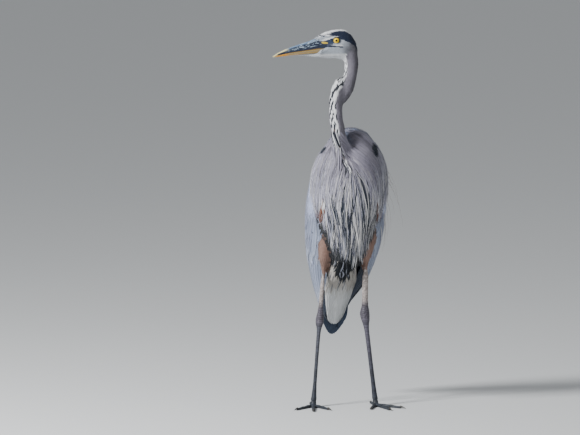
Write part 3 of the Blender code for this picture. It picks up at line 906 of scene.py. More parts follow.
def vane_template(name, half_widths, arch, camber=0.04, thickness=0.012):
    """half_widths are the half widths at even steps between root and tip."""
    count = len(half_widths)
    places, vane = [(0, 0, 0)], [(0, 0, 0)]
    for k, half in enumerate(half_widths):
        t = (k + 1) / (count + 1)
        drop = -arch * t * t
        for side, rise in ((-1, -camber * half), (0, thickness), (1, -camber * half), (0, -thickness * 0.6)):
            places.append((t, side * half, drop + rise))
            vane.append((side, t, 0))
    places.append((1, 0, -arch))
    vane.append((0, 1, 0))
    faces = [(0, 1 + k, 1 + (k + 1) % 4) for k in range(4)]
    for s in range(count - 1):
        for k in range(4):
            a, b = 1 + 4 * s + k, 1 + 4 * s + (k + 1) % 4
            faces.append((a, a + 4, b + 4, b))
    last = 1 + 4 * (count - 1)
    faces += [(len(places) - 1, last + (k + 1) % 4, last + k) for k in range(4)]
    mesh = bpy.data.meshes.new(name)
    mesh.from_pydata(places, [], faces)
    mesh.shade_smooth()
    put_attributes(mesh, "FLOAT_VECTOR", vane=vane)
    obj = link_object(name, mesh)
    obj.hide_render = True
    return obj


TEMPLATES = {
    "pointed": vane_template("vane_pointed", (0.40, 0.48, 0.30), 0.06, 0.03),
    "broad": vane_template("vane_broad", (0.34, 0.49, 0.50, 0.38), 0.12),
}
for template in TEMPLATES.values():
    print(template.name, len(template.data.polygons), "faces")

# %% [markdown]
# ## Planting feathers with Geometry Nodes
# A coat of small feathers is the same vane thousands of times, so Geometry Nodes places it: one
# instance on each root, turned by two axes that the root carries, scaled by its own size, then
# realized, because an exported model can't hold instances. Each realized vane gets a small patch of
# the unwrap at its root.

# %% Feather trees
COATS = {}
# A vane is flat with a sharp edge: only its gentle bends are shaded smooth.
VANE_EDGE = math.radians(50)


def feather_tree(name, fields):
    """A tree with the inputs that every feather tree has, and the fields that its points carry."""
    tree = bpy.data.node_groups.new(name, "GeometryNodeTree")
    sockets = (("Geometry", "Geometry"), ("Shape", "Object"), ("Patch", "Float"), ("Material", "Material"))
    for label, kind in sockets:
        tree.interface.new_socket(label, in_out="INPUT", socket_type="NodeSocket" + kind)
    tree.interface.new_socket("Geometry", in_out="OUTPUT", socket_type="NodeSocketGeometry")
    given = dict(add(tree, "NodeGroupInput").outputs.items())
    for field, kind in fields.items():
        node = add(tree, "InputNamedAttribute", {"Name": field}, data_type=kind)
        given[field] = node.outputs["Attribute"]
    return tree, given


def end_tree(tree, given, geometry, vane):
    """Realizes the feathers, gives each its patch of the unwrap, and sets the material."""
    realized = add(tree, "RealizeInstances", {"Geometry": geometry})
    spread = add(tree, "ShaderNodeVectorMath", {0: vane, 1: (0.5, 1.0, 0.0)}, operation="MULTIPLY")
    patch = add(tree, "ShaderNodeVectorMath", {0: spread, 3: given["Patch"]}, operation="SCALE")
    place = add(tree, "ShaderNodeVectorMath", {0: patch, 1: given["root_uv"]}, operation="ADD")
    mapped = add(
        tree, "StoreNamedAttribute", {"Geometry": realized, "Name": "OFBake", "Value": place},
        data_type="FLOAT2", domain="CORNER",
    )
    finish = add(tree, "SetMaterial", {"Geometry": mapped, "Material": given["Material"]})
    add(tree, "NodeGroupOutput", {"Geometry": finish})


def plant_tree():
    fields = ("lie", "out", "size", "vane", "root_uv")
    tree, given = feather_tree("plant_feathers", dict.fromkeys(fields, "FLOAT_VECTOR"))
    turn = add(
        tree, "FunctionNodeAxesToRotation", {"Primary Axis": given["lie"], "Secondary Axis": given["out"]},
        primary_axis="X", secondary_axis="Z",
    )
    vane = add(tree, "ObjectInfo", {"Object": given["Shape"], "As Instance": True})
    planted = add(tree, "InstanceOnPoints", {
        "Points": given["Geometry"], "Instance": vane.outputs["Geometry"], "Rotation": turn,
        "Scale": given["size"],
    })
    end_tree(tree, given, planted, given["vane"])
    return tree


def grow(name, count, roots, tree, shape, material):
    """Runs a feather tree over a mesh of roots, and keeps the result as a piece of the coat."""
    carrier = link_object(name + "_roots", roots)
    modifier = carrier.modifiers.new("Grow", "NODES")
    modifier.node_group = tree
    values = {"Shape": shape, "Patch": FEATHER_PATCH, "Material": material}
    for socket in tree.interface.items_tree:
        if socket.in_out == "INPUT" and socket.name in values:
            modifier[socket.identifier] = values[socket.name]
    graph = bpy.context.evaluated_depsgraph_get()
    evaluated = carrier.evaluated_get(graph)
    mesh = bpy.data.meshes.new_from_object(evaluated, preserve_all_data_layers=True, depsgraph=graph)
    bpy.data.objects.remove(carrier)
    for spare in ("root_uv", "out", "size", "lie", "half", "along", "across"):
        if spare in mesh.attributes:
            mesh.attributes.remove(mesh.attributes[spare])
    mesh.shade_smooth()
    mesh.set_sharp_from_angle(angle=VANE_EDGE)
    mesh.name = name
    COATS[name] = link_object(name, mesh)
    print(name, count, "feathers", len(mesh.polygons), "faces")


PLANT = plant_tree()

# %% [markdown]
# ## Where feathers grow
# Roots are scattered over the skin and then thinned, so that no two are closer than the spacing asked
# for there. This gives the even but unruled cover of real plumage.

# %% Roots


def scatter(nodes, spacing, keep=None):
    """Roots on the skin of the given solids: places, normals and patches of the unwrap, as arrays."""
    members = [FLESH.index(node) for node in nodes]
    inside = np.flatnonzero(np.isin(skin_region[skin_triangles[:, 0]], members))
    corners = skin_places[skin_triangles[inside]]
    area = np.linalg.norm(np.cross(corners[:, 1] - corners[:, 0], corners[:, 2] - corners[:, 0]), axis=1) / 2
    gap = spacing(corners.mean(1)) * MM
    weight = area / gap ** 2
    count = int(weight.sum() * 5)
    chosen = rng.choice(len(inside), count, p=weight / weight.sum())
    a, b = rng.random(count), rng.random(count)
    flip = a + b > 1
    a[flip], b[flip] = 1 - a[flip], 1 - b[flip]
    share = np.stack([1 - a - b, a, b], 1)
    places = (share[..., None] * corners[chosen]).sum(1)
    normals = unit((share[..., None] * skin_normals[skin_triangles[inside[chosen]]]).sum(1))
    patches = (share[..., None] * triangle_uv[inside[chosen]]).sum(1)
    taken = thinned(places, gap[chosen])
    if keep is not None:
        taken &= keep(places)
    return places[taken], normals[taken], patches[taken]


def by_region(functions, region, places):
    """Asks each solid's own function about the places that belong to it."""
    found = np.empty_like(places)
    for index in np.unique(region):
        rows = region == index
        found[rows] = functions[index](places[rows])
    return found


def small_coat(
    name, nodes, spacing, length, width, lift, material, pale, keep=None, template="pointed", tip_gap=99
):
    """A coat piece over the given solids. spacing, length and width are functions of the place."""
    places, normals, patches = scatter(nodes, spacing, keep)
    region = nearest_region(places)
    lie = by_region(LIE, region, places)
    steady = (along_surface(lie, normals) * lie).sum(1) > 0.72
    tips = places + along_surface(lie, normals) * (length(places) * MM)[:, None]
    gaps = np.array([skin_bvh.find_nearest(Vector(tip))[3] for tip in tips])
    steady &= gaps < tip_gap * MM
    places, normals, patches, region, lie = (a[steady] for a in (places, normals, patches, region, lie))
    lie = along_surface(lie, normals)
    shown = places + lie * (length(places) * 0.6 * MM)[:, None]
    tint = by_region(PLUMAGE, region, shown)
    side = np.cross(normals, lie)
    lie = unit(lie + side * rng.normal(0, 0.07, (len(lie), 1)))
    angle = np.radians(rng.normal(lift, lift * 0.15, (len(lie), 1)))
    lie, out = lie * np.cos(angle) + normals * np.sin(angle), normals * np.cos(angle) - lie * np.sin(angle)
    size = rng.normal(1, 0.08, len(lie))
    long, wide = length(places) * size * MM, width(places) * size * MM
    tint = tint * rng.normal(1, 0.06, (len(tint), 1)).clip(0.8, 1.2)
    edge = blend(tint, np.ones(3) * 0.75, pale * rng.uniform(0.6, 1.2, len(tint)).clip(0, 1))
    cloud = bpy.data.meshes.new(name + "_roots")
    cloud.from_pydata(places.tolist(), [], [])
    sizes, root_uv = np.stack([long, wide, long], 1), np.pad(patches, ((0, 0), (0, 1)))
    put_attributes(cloud, "FLOAT_VECTOR", lie=lie, out=out, size=sizes, root_uv=root_uv)
    put_attributes(cloud, "FLOAT_COLOR", tint=tint, edge=edge)
    grow(name, len(places), cloud, PLANT, TEMPLATES[template], material)


def fixed(value):
    return lambda places: np.full(len(places), float(value))


def scaled(size, share):
    return lambda places: size(places) * share


def head_size(places):
    """Length of the head's feathers: shortest round the bill, longer towards the nape."""
    return np.interp(to_head(places)[:, 0], (-55, -30, 0, 30, 70), (12, 10, 7.5, 5.5, 5))


def clear_of_face(places):
    """Keeps feathers off the eyes, the bare lores and the bill."""
    u, v, w = to_head(places).T
    eye = np.hypot(u + 1.8, w) > 7.6
    lore = (u > 5) & (w > -13) & (w < np.interp(u, *BROW) - 1.5)
    return (eye | (np.abs(v) < 8)) & ~lore

# %% [markdown]
# ## Long feathers with Geometry Nodes
# Plumes, quills and tail feathers bend along the body, so each is a curve with a thin closed section
# swept along it: a simple lens for plumes, and one with a raised shaft for quills. The curve's points
# carry the way the vane faces and its half width.

# %% Sections


def section(name, points):
    """points are (rise, across) in half widths, anticlockwise."""
    count = len(points)
    mesh = bpy.data.meshes.new(name)
    edges = [(i, (i + 1) % count) for i in range(count)]
    mesh.from_pydata([(rise, across, 0) for rise, across in points], edges, [])
    put_attributes(mesh, "FLOAT", across=[across for _, across in points])
    obj = link_object(name, mesh)
    obj.hide_render = True
    return obj


PLUME_SECTION = section("section_plume", ((0.09, 0), (-0.09, 1), (-0.02, 0), (-0.09, -1)))
QUILL_SECTION = section("section_quill", (
    (0.10, 0), (0.05, 0.07), (-0.02, 0.5), (-0.16, 1), (-0.07, 0.5),
    (-0.02, 0), (-0.07, -0.5), (-0.16, -1), (-0.02, -0.5), (0.05, -0.07),
))

# %% Sweep tree


def sweep_tree():
    tree, given = feather_tree("sweep_long_feathers", {
        "out": "FLOAT_VECTOR", "root_uv": "FLOAT_VECTOR",
        "half": "FLOAT", "across": "FLOAT", "along": "FLOAT",
    })
    spine = add(tree, "MeshToCurve", {"Mesh": given["Geometry"]})
    facing = add(tree, "SetCurveNormal", {"Curve": spine, "Normal": given["out"]}, mode="FREE")
    loop = add(tree, "ObjectInfo", {"Object": given["Shape"]})
    profile = add(tree, "MeshToCurve", {"Mesh": loop.outputs["Geometry"]})
    swept = add(tree, "CurveToMesh", {
        "Curve": facing, "Profile Curve": profile, "Scale": given["half"], "Fill Caps": True,
    })
    vane = add(tree, "ShaderNodeCombineXYZ", {"X": given["across"], "Y": given["along"]})
    marked = add(
        tree, "StoreNamedAttribute", {"Geometry": swept, "Name": "vane", "Value": vane},
        data_type="FLOAT_VECTOR", domain="POINT",
    )
    end_tree(tree, given, marked, vane)
    return tree


SWEEP = sweep_tree()


def sweep(name, paths, outs, halves, tints, edges, loop=PLUME_SECTION, material=PLUME):
    """Makes one coat piece. paths is feathers x stations x 3, in metres; half widths are in mm."""
    feathers, stations, _ = paths.shape
    spines = bpy.data.meshes.new(name + "_spines")
    index = np.arange(feathers * stations).reshape(feathers, stations)
    steps = np.stack([index[:, :-1].ravel(), index[:, 1:].ravel()], 1)
    spines.from_pydata(paths.reshape(-1, 3).tolist(), steps.tolist(), [])
    along = np.tile(np.linspace(0, 1, stations), feathers)
    root_uv = np.repeat(np.pad(root_patch(paths[:, 0]), ((0, 0), (0, 1))), stations, 0)
    put_attributes(spines, "FLOAT_VECTOR", out=outs.reshape(-1, 3), root_uv=root_uv)
    put_attributes(spines, "FLOAT", half=halves.ravel() * MM, along=along)
    tints, edges = np.repeat(tints, stations, 0), np.repeat(edges, stations, 0)
    put_attributes(spines, "FLOAT_COLOR", tint=tints, edge=edges)
    grow(name, feathers, spines, SWEEP, loop, material)

# %% [markdown]
# ## Draping
# A long feather starts at its root and runs on over whatever lies under it. Each path steps along
# the lie of the coat and is set back on the outline at every step. Where the body turns under, the
# feather no longer follows: it hangs free.

# %% Draping
HANGING = np.array((0, 0.05, -1.0))
TURNED_UNDER = -0.45


def drape(starts, lie, lengths, lift):
    """Returns paths and the way each station faces. lift is mm off the outline at each station."""
    count, stations = len(starts), len(lift)
    step = lengths * MM / (stations - 1)
    paths = np.empty((count, stations, 3))
    outs = np.empty((count, stations, 3))
    place = starts.copy()
    free = np.zeros(count, bool)
    heading = None
    for s in range(stations):
        surface_place, normal = np.empty((count, 3)), np.empty((count, 3))
        for i in range(count):
            hit, face, _, _ = outline_bvh.find_nearest(Vector(place[i]))
            surface_place[i], normal[i] = hit, face
        if s:
            free |= normal[:, 2] < TURNED_UNDER
            normal[free] = outs[free, s - 1]
        place = np.where(free[:, None], place, surface_place + normal * lift[s] * MM)
        paths[:, s], outs[:, s] = place, normal
        wanted = lie(place)
        if s:
            wanted[free] = unit(blend(heading[free], HANGING, np.full(free.sum(), 0.35)))
        heading = np.where(free[:, None], wanted, along_surface(wanted, normal))
        place = place + heading * step[:, None]
    outs[:, 1:-1] = unit(outs[:, :-2] + outs[:, 1:-1] * 2 + outs[:, 2:])
    return paths, outs


def outer_point(middle, angle, height):
    """The outermost point of the outline round an upright axis, at an angle from the breast in degrees."""
    turn = math.radians(angle)
    away = Vector((math.sin(turn), -math.cos(turn), 0))
    return outline_bvh.ray_cast(Vector(from_bird((*middle, height))) + away * 0.4, -away)[0]


def taper(stations, widest, root, tip, power=1.0):
    """Half-width shares along a feather that is widest at a share of its length."""
    t = np.linspace(0, 1, stations)
    rise = root + (1 - root) * ramp(0, widest, t)
    fall = 1 - (1 - tip) * np.clip((t - widest) / (1 - widest), 0, 1) ** (1 + power)
    return np.minimum(rise, fall)

# %% [markdown]
# ## Bill
# The bill is a long horny dagger in two halves. Its form is a loft through a few cross sections,
# each given by the heights of the ridge, the mouth line and the lower edge. The upper half carries a
# groove on each side, with the nostril slit at its rear end; both are pressed in as real geometry.

# %% Bill sections
# Rows of (forward, ridge, mouth line, lower edge, half width) in mm.
BILL_STATIONS = np.array((
    (16, 12.0, -17.6, -31.5, 10.6), (30, 11.0, -18.2, -31, 10.1), (46, 5.6, -19.8, -31, 9.3),
    (64, -1.2, -21.8, -31, 8.1), (84, -6.4, -24.0, -32.2, 6.6), (104, -12.3, -26.2, -33.4, 5.0),
    (124, -18.8, -29.0, -34.4, 3.5), (142, -26.6, -32.3, -35.6, 1.9), (154.5, -34, -35.0, -36.2, 0.5),
))
BILL_RINGS = 130
BILL_SIDES = 96
BILL_TIP = 154.5


def bill_at(u, column):
    return float(np.interp(u, BILL_STATIONS[:, 0], BILL_STATIONS[:, column]))


def bill_half(name, upper):
    rings, coordinates = [], []
    for u in np.linspace(16, BILL_TIP, BILL_RINGS):
        peak, mouth, half = bill_at(u, 1 if upper else 3), bill_at(u, 2), bill_at(u, 4)
        gap = 0.18 if upper else -0.18
        ring = []
        for k in range(BILL_SIDES):
            share = k / BILL_SIDES
            if share < 0.75:
                a = math.pi * share / 0.75
                rise, across = math.sin(a) ** 0.9, math.cos(a)
            else:
                rise, across = 0.0, -1 + 2 * (share - 0.75) / 0.25
            v, w = half * across, mouth + gap + (peak - mouth - gap) * rise
            if upper:
                reach = ramp(22, 34, u) * ramp(112, 80, u)
                slit = 1.5 * math.exp(-((rise - 0.58) / 0.05) ** 2 - ((u - 60) / 9) ** 2)
                groove = 0.75 * math.exp(-((rise - 0.60) / 0.07) ** 2) * reach + slit
            else:
                reach = ramp(30, 50, u) * ramp(135, 100, u)
                groove = 0.5 * math.exp(-((rise - 0.45) / 0.12) ** 2) * reach
            v -= math.copysign(min(abs(v), groove), v)
            if rise == 0.0:
                w += (0.6 if upper else -0.6) * (1 - across ** 2) * min(half / 6, 1)
            ring.append((u, v, w))
            coordinates.append((u / BILL_TIP, rise, across))
        rings.append(from_head(ring))
    mesh = loft(name, rings)
    put_attributes(mesh, "FLOAT_VECTOR", bill=coordinates)
    return link_object(name, mesh)


bill_top = bill_half("bill_top", True)
bill_bottom = bill_half("bill_bottom", False)
print("bill length mm", round(BILL_TIP - 27, 1), "faces", len(bill_top.data.polygons))

# %% [markdown]
# Horn is keratin, smooth and slightly waxy. The upper half is dark slate with pale streaks along it, a
# pale blue-grey painted reflection of the sky along its ridge, and a pale yellow ridge towards the tip;
# its base takes the bare lores' colours. The lower half is olive tan between two golden lines, and
# orange at the tip. Large areas are coloured by the place on the bill, and the streaks are noise
# stretched along it, about 1 mm across.

# %% Bill horn
SLATE_HORN = linear("#152036")
RIDGE_REFLECTION = linear("#5f7796")
TAN_HORN = linear("#9a8763")
GOLD_HORN = linear("#b08a3c")
ORANGE_HORN = linear("#d8920f")
PINK_HORN = linear("#b59a86")
IVORY_HORN = linear("#d9cf9a")


def upper_colours(u, rise, points):
    """Base colours of the upper half and how streaky it is, from the place along and up the bill."""
    place = to_head(points)
    place[:, 2] = np.maximum(place[:, 2], -12.5)
    colour = layered(
        SLATE_HORN,
        # Painted reflection: a pale blue-grey band of sky light along the ridge.
        (RIDGE_REFLECTION, ramp(0.72, 0.95, rise) * ramp(36, 60, u)),
        (IVORY_HORN, ramp(0.50, 0.80, rise) * ramp(112, 126, u)),
        (IVORY_HORN, ramp(140, 150, u)),
        (GOLD_HORN, ramp(0.07, 0.03, rise) * ramp(30, 42, u)),
        (head_colour(from_head(place)), ramp(42, 37, u) * (rise > 0)),
    )
    streaky = ramp(0.22, 0.40, rise) * ramp(30, 46, u) * ramp(128, 112, u)
    return colour, streaky


def lower_colours(u, rise, _):
    """The same for the lower half, whose rise runs from the mouth line down to the lower edge."""
    line = np.exp(-(((rise - 0.62) / 0.12) ** 2)) + np.exp(-((rise / 0.12) ** 2))
    colour = layered(
        TAN_HORN,
        (PINK_HORN, ramp(0.45, 0.7, rise) * ramp(70, 95, u)),
        (GOLD_HORN, np.clip(line, 0, 1) * ramp(34, 50, u)),
        (ORANGE_HORN, ramp(108, 128, u)),
        (IVORY_HORN, ramp(146, 152, u)),
    )
    return colour, 0.25 * np.ones(len(u))


def paint_bill(bill, colours):
    mesh = bill.data
    places, _, _ = mesh_arrays(mesh)
    spots = numbers(mesh.attributes["bill"].data, "vector", 3)
    colour, streaky = colours(spots[:, 0] * BILL_TIP, spots[:, 1], places)
    put_attributes(mesh, "FLOAT_COLOR", tint=colour)
    put_attributes(mesh, "FLOAT", streaky=streaky)


def horn(name, streak):
    material, tree, shader = new_material(name, Coat_Weight=0.12, Coat_Roughness=0.25, IOR=1.54)
    bill = add(tree, "Attribute", attribute_name="bill").outputs["Vector"]
    tint = add(tree, "Attribute", attribute_name="tint")
    streaky = add(tree, "Attribute", attribute_name="streaky").outputs["Fac"]
    bent = add(tree, "TexNoise", {"Vector": bill, "Scale": 6.0, "Detail": 1.0}).outputs["Color"]
    shift = add(tree, "VectorMath", {0: bent, 1: (0.0, 0.12, 0.0)}, operation="MULTIPLY")
    moved = add(tree, "VectorMath", {0: bill, 1: shift}, operation="ADD")
    stretched = add(tree, "VectorMath", {0: moved, 1: (17.0, 11.0, 5.0)}, operation="MULTIPLY")
    streaks = add(
        tree, "TexNoise", {"Vector": stretched, "Scale": 1.0, "Detail": 4.0, "Roughness": 0.55}
    )
    ridged = add(tree, "MapRange", {0: streaks, 1: 0.52, 2: 0.62})
    strength = add(tree, "Math", {0: ridged, 1: streaky}, operation="MULTIPLY")
    body = add(tree, "Mix", {0: strength, 6: tint, 7: rgba(streak)}, data_type="RGBA")
    gloss = add(tree, "MapRange", {0: streaks, 3: 0.34, 4: 0.54})
    bump = add(tree, "Bump", {"Strength": 0.3, "Distance": 0.3 * MM, "Height": streaks})
    give(shader, {"Base Color": body.outputs[2], "Roughness": gloss, "Normal": bump})
    return material


paint_bill(bill_top, upper_colours)
paint_bill(bill_bottom, lower_colours)
bill_top.data.materials.append(horn("upper_bill_horn", "#a9bccd"))
bill_bottom.data.materials.append(horn("lower_bill_horn", "#d0b98e"))

# %% [markdown]
# ## The close coat
# Over the whole flesh lie small feathers: five millimetres long round the bill, three centimetres on
# the body and nearly six on the wing. Each region gets its own length, width and lift, and the roots
# keep off the eyes, the bare lores, the vent and the edges of the wings.

# %% Close coat
small_coat(
    "coat_head", ("head",), scaled(head_size, 0.165), head_size, scaled(head_size, 0.27), 5, DOWN, 0.05,
    clear_of_face,
)
small_coat("coat_neck", ("neck_upper", "neck_lower"), fixed(2.0), fixed(11), fixed(2.7), 5, DOWN, 0.10)


def body_length(places):
    """Longer feathers low on the body, short ones where the neck begins."""
    return np.interp(to_bird(places)[:, 2], (260, 420, 560, 620, 680), (32, 34, 32, 18, 13))


def above_vent(places):
    """Leaves the vent bare, where the under-tail coverts lie, and keeps off the thighs."""
    place = to_bird(places)
    edge = np.minimum(326 + 1.6 * np.maximum(np.abs(place[:, 0] + 4) - 5, 0), 372)
    vent = (place[:, 2] < edge) & (place[:, 1] < 112)
    tips = places + body_lie(places) * (body_length(places) * 0.8 * MM)[:, None]
    on_thigh = np.isin(nearest_region(tips), [FLESH.index("thigh_left"), FLESH.index("thigh_right")])
    return ~vent & ~on_thigh


small_coat(
    "coat_body", ("trunk",), scaled(body_length, 0.2), body_length, scaled(body_length, 0.28), 5, CONTOUR,
    0.15, above_vent,
)


def outside_wing(places):
    """Keeps the roots on the outer faces of the folded wings, clear of their edges."""
    place = to_bird(places)
    middle_y = np.interp(place[:, 2], (170, 250, 350, 445, 560, 640), (168, 115, 58, 12, -42, -66))
    away = unit(np.stack([place[:, 0], place[:, 1] - middle_y], 1))
    facing = np.empty((len(places), 2))
    for i, point in enumerate(places):
        facing[i] = skin_bvh.find_nearest(Vector(point))[1].xy
    return ((facing * away).sum(1) > 0.6) & (facing[:, 1] > -0.5) & (place[:, 2] > 352)


def covert_length(places):
    return np.interp(to_bird(places)[:, 2], (330, 450, 560, 640), (58, 54, 40, 26))


small_coat(
    "coat_wings", ("wing_left", "wing_right"), scaled(covert_length, 0.13), covert_length,
    scaled(covert_length, 0.26), 3.5, CONTOUR, 0.12, outside_wing, "broad", 7,
)


def thigh_length(places):
    return np.interp(to_bird(places)[:, 2], (310, 335, 370), (24, 18, 14))


small_coat(
    "coat_thighs", ("thigh_left", "thigh_right"), fixed(2.1), thigh_length, fixed(2.7), 4, DOWN, 0.10
)

# %% [markdown]
# ## Breast plumes
# From the base of the neck hang more than a thousand long, narrow, loose plumes. They part along a
# line that runs down from the front of the neck: on each side of it they sweep outwards over the
# shoulder and then turn straight down. Each is swept along a path that is draped over the breast, and
# neighbours are drawn together into locks, because real plumes cling to one another.

# %% Breast plumes
PLUME_STATIONS = 11
PALE_PLUME = linear("#b6b5c8")
GREY_PLUME = linear("#7f828d")
DARK_PLUME = linear("#2b323d")
CREAM_PLUME = linear("#cbcaca")
MAUVE_PLUME = linear("#85818f")


def parting(height):
    """Where the parting lies, in mm to the bird's left of the middle."""
    return np.interp(height, (560, 585, 629, 677, 700), (-14, -20, -45, -58, -58))


def fan_lie(points):
    """Out to both sides of the parting, then straight down."""
    x, y, z = to_bird(points).T
    side = np.clip((x - parting(z)) / 16, -1, 1)
    spread = np.interp(z, (440, 500, 568, 582, 600, 640, 680), (0.03, 0.14, 0.38, 0.60, 0.95, 1.20, 0.80))
    spread = spread * np.where(side < 0, 0.62, 1.0)
    return unit(np.stack([side * spread, np.zeros_like(x), -np.ones_like(x)], 1))


def plume_low(angle):
    """Height at which the plumes end, in mm."""
    return 386 + 72 * np.abs(angle / 58) ** 2.2


def near_neck(place):
    """How near a place is to the foot of the neck, where the plumes take its mauve."""
    return ramp(78, 40, np.linalg.norm(place - (-30, -118, 640), axis=1))


def plume_roots(tries, angles, heights, gap):
    """Roots on the breast, with their angle from the middle in degrees and their height in mm."""
    found = []
    for a, h in zip(rng.uniform(*angles, tries), rng.uniform(*heights, tries)):
        hit = outer_point((-4, -30), a, h)
        bare = 0.45 * ramp(600, 540, h) + 0.4 * ramp(515, 450, h)
        if hit is not None and h > plume_low(a) + 30 and rng.random() > bare:
            found.append((*hit, a, h))
    found = np.array(found)
    found = found[thinned(found[:, :3], gap * MM)]
    return found[:, :3], found[:, 3], found[:, 4]


def waved(paths, outs, size, turns, phase):
    """Bends each path from side to side, more towards its tip. size is in mm, one for each path."""
    share = np.linspace(0, 1, paths.shape[1])
    side = unit(np.cross(outs, np.gradient(paths, axis=1)))
    swing = np.sin(share * turns[:, None] + phase[:, None]) - np.sin(phase[:, None])
    sway = swing * share ** 1.2 * size[:, None]
    return paths + side * sway[..., None] * MM


def each_waved(paths, outs, size, turns):
    """Waves every path by its own amount. size and turns are each a lowest and a highest value."""
    count = len(paths)
    size, turns, phase = (rng.uniform(*span, count) for span in (size, turns, (0, 6.3)))
    return waved(paths, outs, size, turns, phase)


def in_locks(paths, outs, gap, pull, sway):
    """Draws neighbours together: each lock follows one leader towards its tip and sways as one."""
    roots = paths[:, 0]
    leaders = np.flatnonzero(thinned(roots, gap * MM))
    tree = tree_of(roots[leaders])
    lock = np.array([tree.find(root)[1] for root in roots])
    share = np.linspace(0, 1, paths.shape[1])[:, None]
    closer = (pull * rng.uniform(0.7, 1.05, len(paths)))[:, None, None] * share ** 1.5
    paths = paths + (paths[leaders][lock] - paths) * closer
    size = rng.uniform(*sway, len(leaders))[lock]
    turns = rng.uniform(3.5, 7.5, len(leaders))[lock]
    phase = rng.uniform(0, 6.3, len(leaders))[lock] + rng.normal(0, 0.35, len(paths))
    return waved(paths, outs, size, turns, phase), lock


def plume_reach(lengths, beyond, slope):
    """Cuts lengths in mm, so that the plumes end near the lower edge of the fan."""
    drop = root_height - plume_low(root_angle) + rng.uniform(*beyond, len(lengths))
    return np.minimum(lengths, drop / slope)


roots, root_angle, root_height = plume_roots(24000, (-80, 78), (430, 672), 3.55)
count = len(roots)
reach = plume_reach(rng.uniform(66, 128, count), (5, 40), 0.94)
share = np.linspace(0, 1, PLUME_STATIONS)
lift = np.linspace(-1.6, 1.4, PLUME_STATIONS) + 0.6 * np.sin(np.linspace(0, 3.1, PLUME_STATIONS))
paths, outs = drape(roots, fan_lie, reach, lift)
place = to_bird(roots)
low_down = ramp(600, 490, place[:, 2])
paths, lock = in_locks(paths, outs, 13, 0.35 + 0.5 * low_down, (0.8, 3.6))
paths = each_waved(paths, outs, (0.2, 1.2), (5, 11))
paths = paths + outs * (rng.uniform(-0.8, 1.6, (count, 1)) * share)[..., None] * MM
halves = taper(PLUME_STATIONS, 0.35, 0.45, 0.05) * (0.7 + 1.5 * rng.random((count, 1)) ** 2.2)
beside = place[:, 0] - parting(place[:, 2])
streaky = ramp(-26, 6, beside) * ramp(650, 600, place[:, 2])
streaky = np.maximum(streaky, 0.85 * ramp(525, 455, place[:, 2]))
lock_tone = rng.normal(0, 1, lock.max() + 1)[lock]
tint = blend(PALE_PLUME, GREY_PLUME, 0.25 * rng.random(count) + streaky * 0.6)
dark = rng.random(count) < 0.06 + 0.40 * streaky + 0.35 * streaky * (lock_tone < -0.6) + 0.25 * low_down
tint = np.where(dark[:, None], blend(GREY_PLUME, DARK_PLUME, rng.uniform(0.4, 1, count)), tint)
bright = rng.random(count) < 0.12 + 0.10 * streaky + 0.35 * streaky * (lock_tone > 0.9)
tint = np.where(bright[:, None], CREAM_PLUME, tint)
tint = blend(tint, MAUVE_PLUME, near_neck(place) * ramp(-30, 10, beside) * 0.85)
tint = tint * (1 + 0.10 * lock_tone[:, None]).clip(0.7, 1.25) * rng.normal(1, 0.10, (count, 1)).clip(0.7, 1.3)
sweep("breast_fan", paths, outs, halves, tint, tint * 0.9)

# %% [markdown]
# ## Wavy locks
# Lower down, over the belly, long wavy locks hang in front of the fan, dark and cream side by side,
# with the black coat between them. They are longer and are drawn together more strongly.

# %% Wavy locks
LOCK_STATIONS = 15
roots, root_angle, root_height = plume_roots(3600, (-46, 44), (452, 575), 6.3)
count = len(roots)
ends = 334 + 72 * np.abs(root_angle / 50) ** 2 + rng.uniform(-12, 34, count)
reach = np.minimum(rng.uniform(110, 190, count), (root_height - ends) / 0.96)
lift = np.linspace(0.2, 4.6, LOCK_STATIONS)
paths, outs = drape(roots, fan_lie, reach, lift)
paths, lock = in_locks(paths, outs, 22, np.full(count, 0.88), (2.5, 7.0))
paths = each_waved(paths, outs, (0.4, 1.6), (5, 10))
halves = taper(LOCK_STATIONS, 0.45, 0.4, 0.05) * (0.7 + 1.5 * rng.random((count, 1)) ** 2)
pick = (rng.random(count) + rng.random(lock.max() + 1)[lock]) / 2
tint = np.where((pick < 0.66)[:, None], CREAM_PLUME, GREY_PLUME)
tint = np.where((pick < 0.42)[:, None], DARK_PLUME, tint)
sweep("breast_locks", paths, outs, halves, tint * rng.normal(1, 0.08, (count, 1)), tint * 0.85)

# %% [markdown]
# ## Veil
# Over the fan lies a veil of plumes as thin as threads, each leaning out a little by its own amount.
# They break up the even rows, as the loose barbs of real plumes do.

# %% Veil of fine plumes
VEIL_SLANT = 0.09


def veil_lie(points):
    """The fan's lie, with each plume leaning out a little by its own amount."""
    lean = veil_lean * ramp(640, 560, to_bird(points)[:, 2])
    return unit(fan_lie(points) + np.stack([lean, np.zeros_like(lean), np.zeros_like(lean)], 1))


roots, root_angle, root_height = plume_roots(6000, (-80, 78), (446, 660), 5.2)
count = len(roots)
beside = to_bird(roots)[:, 0] - parting(to_bird(roots)[:, 2])
veil_lean = rng.normal(0, VEIL_SLANT, count) + 0.16 * np.clip(beside / 30, -1, 1)
reach = plume_reach(rng.uniform(60, 120, count), (5, 45), 0.9)
lift = np.linspace(0.4, 3.6, PLUME_STATIONS)
paths, outs = drape(roots, veil_lie, reach, lift)
paths, lock = in_locks(paths, outs, 16, np.full(count, 0.35), (1.0, 4.0))
paths = each_waved(paths, outs, (0.4, 2.0), (3, 9))
halves = taper(PLUME_STATIONS, 0.3, 0.6, 0.1) * rng.uniform(0.28, 0.55, (count, 1))
pick = rng.random(count)
tint = np.where((pick < 0.85)[:, None], CREAM_PLUME, DARK_PLUME)
tint = np.where((pick < 0.55)[:, None], PALE_PLUME, tint)
tint = blend(tint, MAUVE_PLUME, near_neck(to_bird(roots)) * ramp(-30, 10, beside) * 0.9)
tint = tint * rng.normal(1.0, 0.10, (count, 1)).clip(0.7, 1.2)
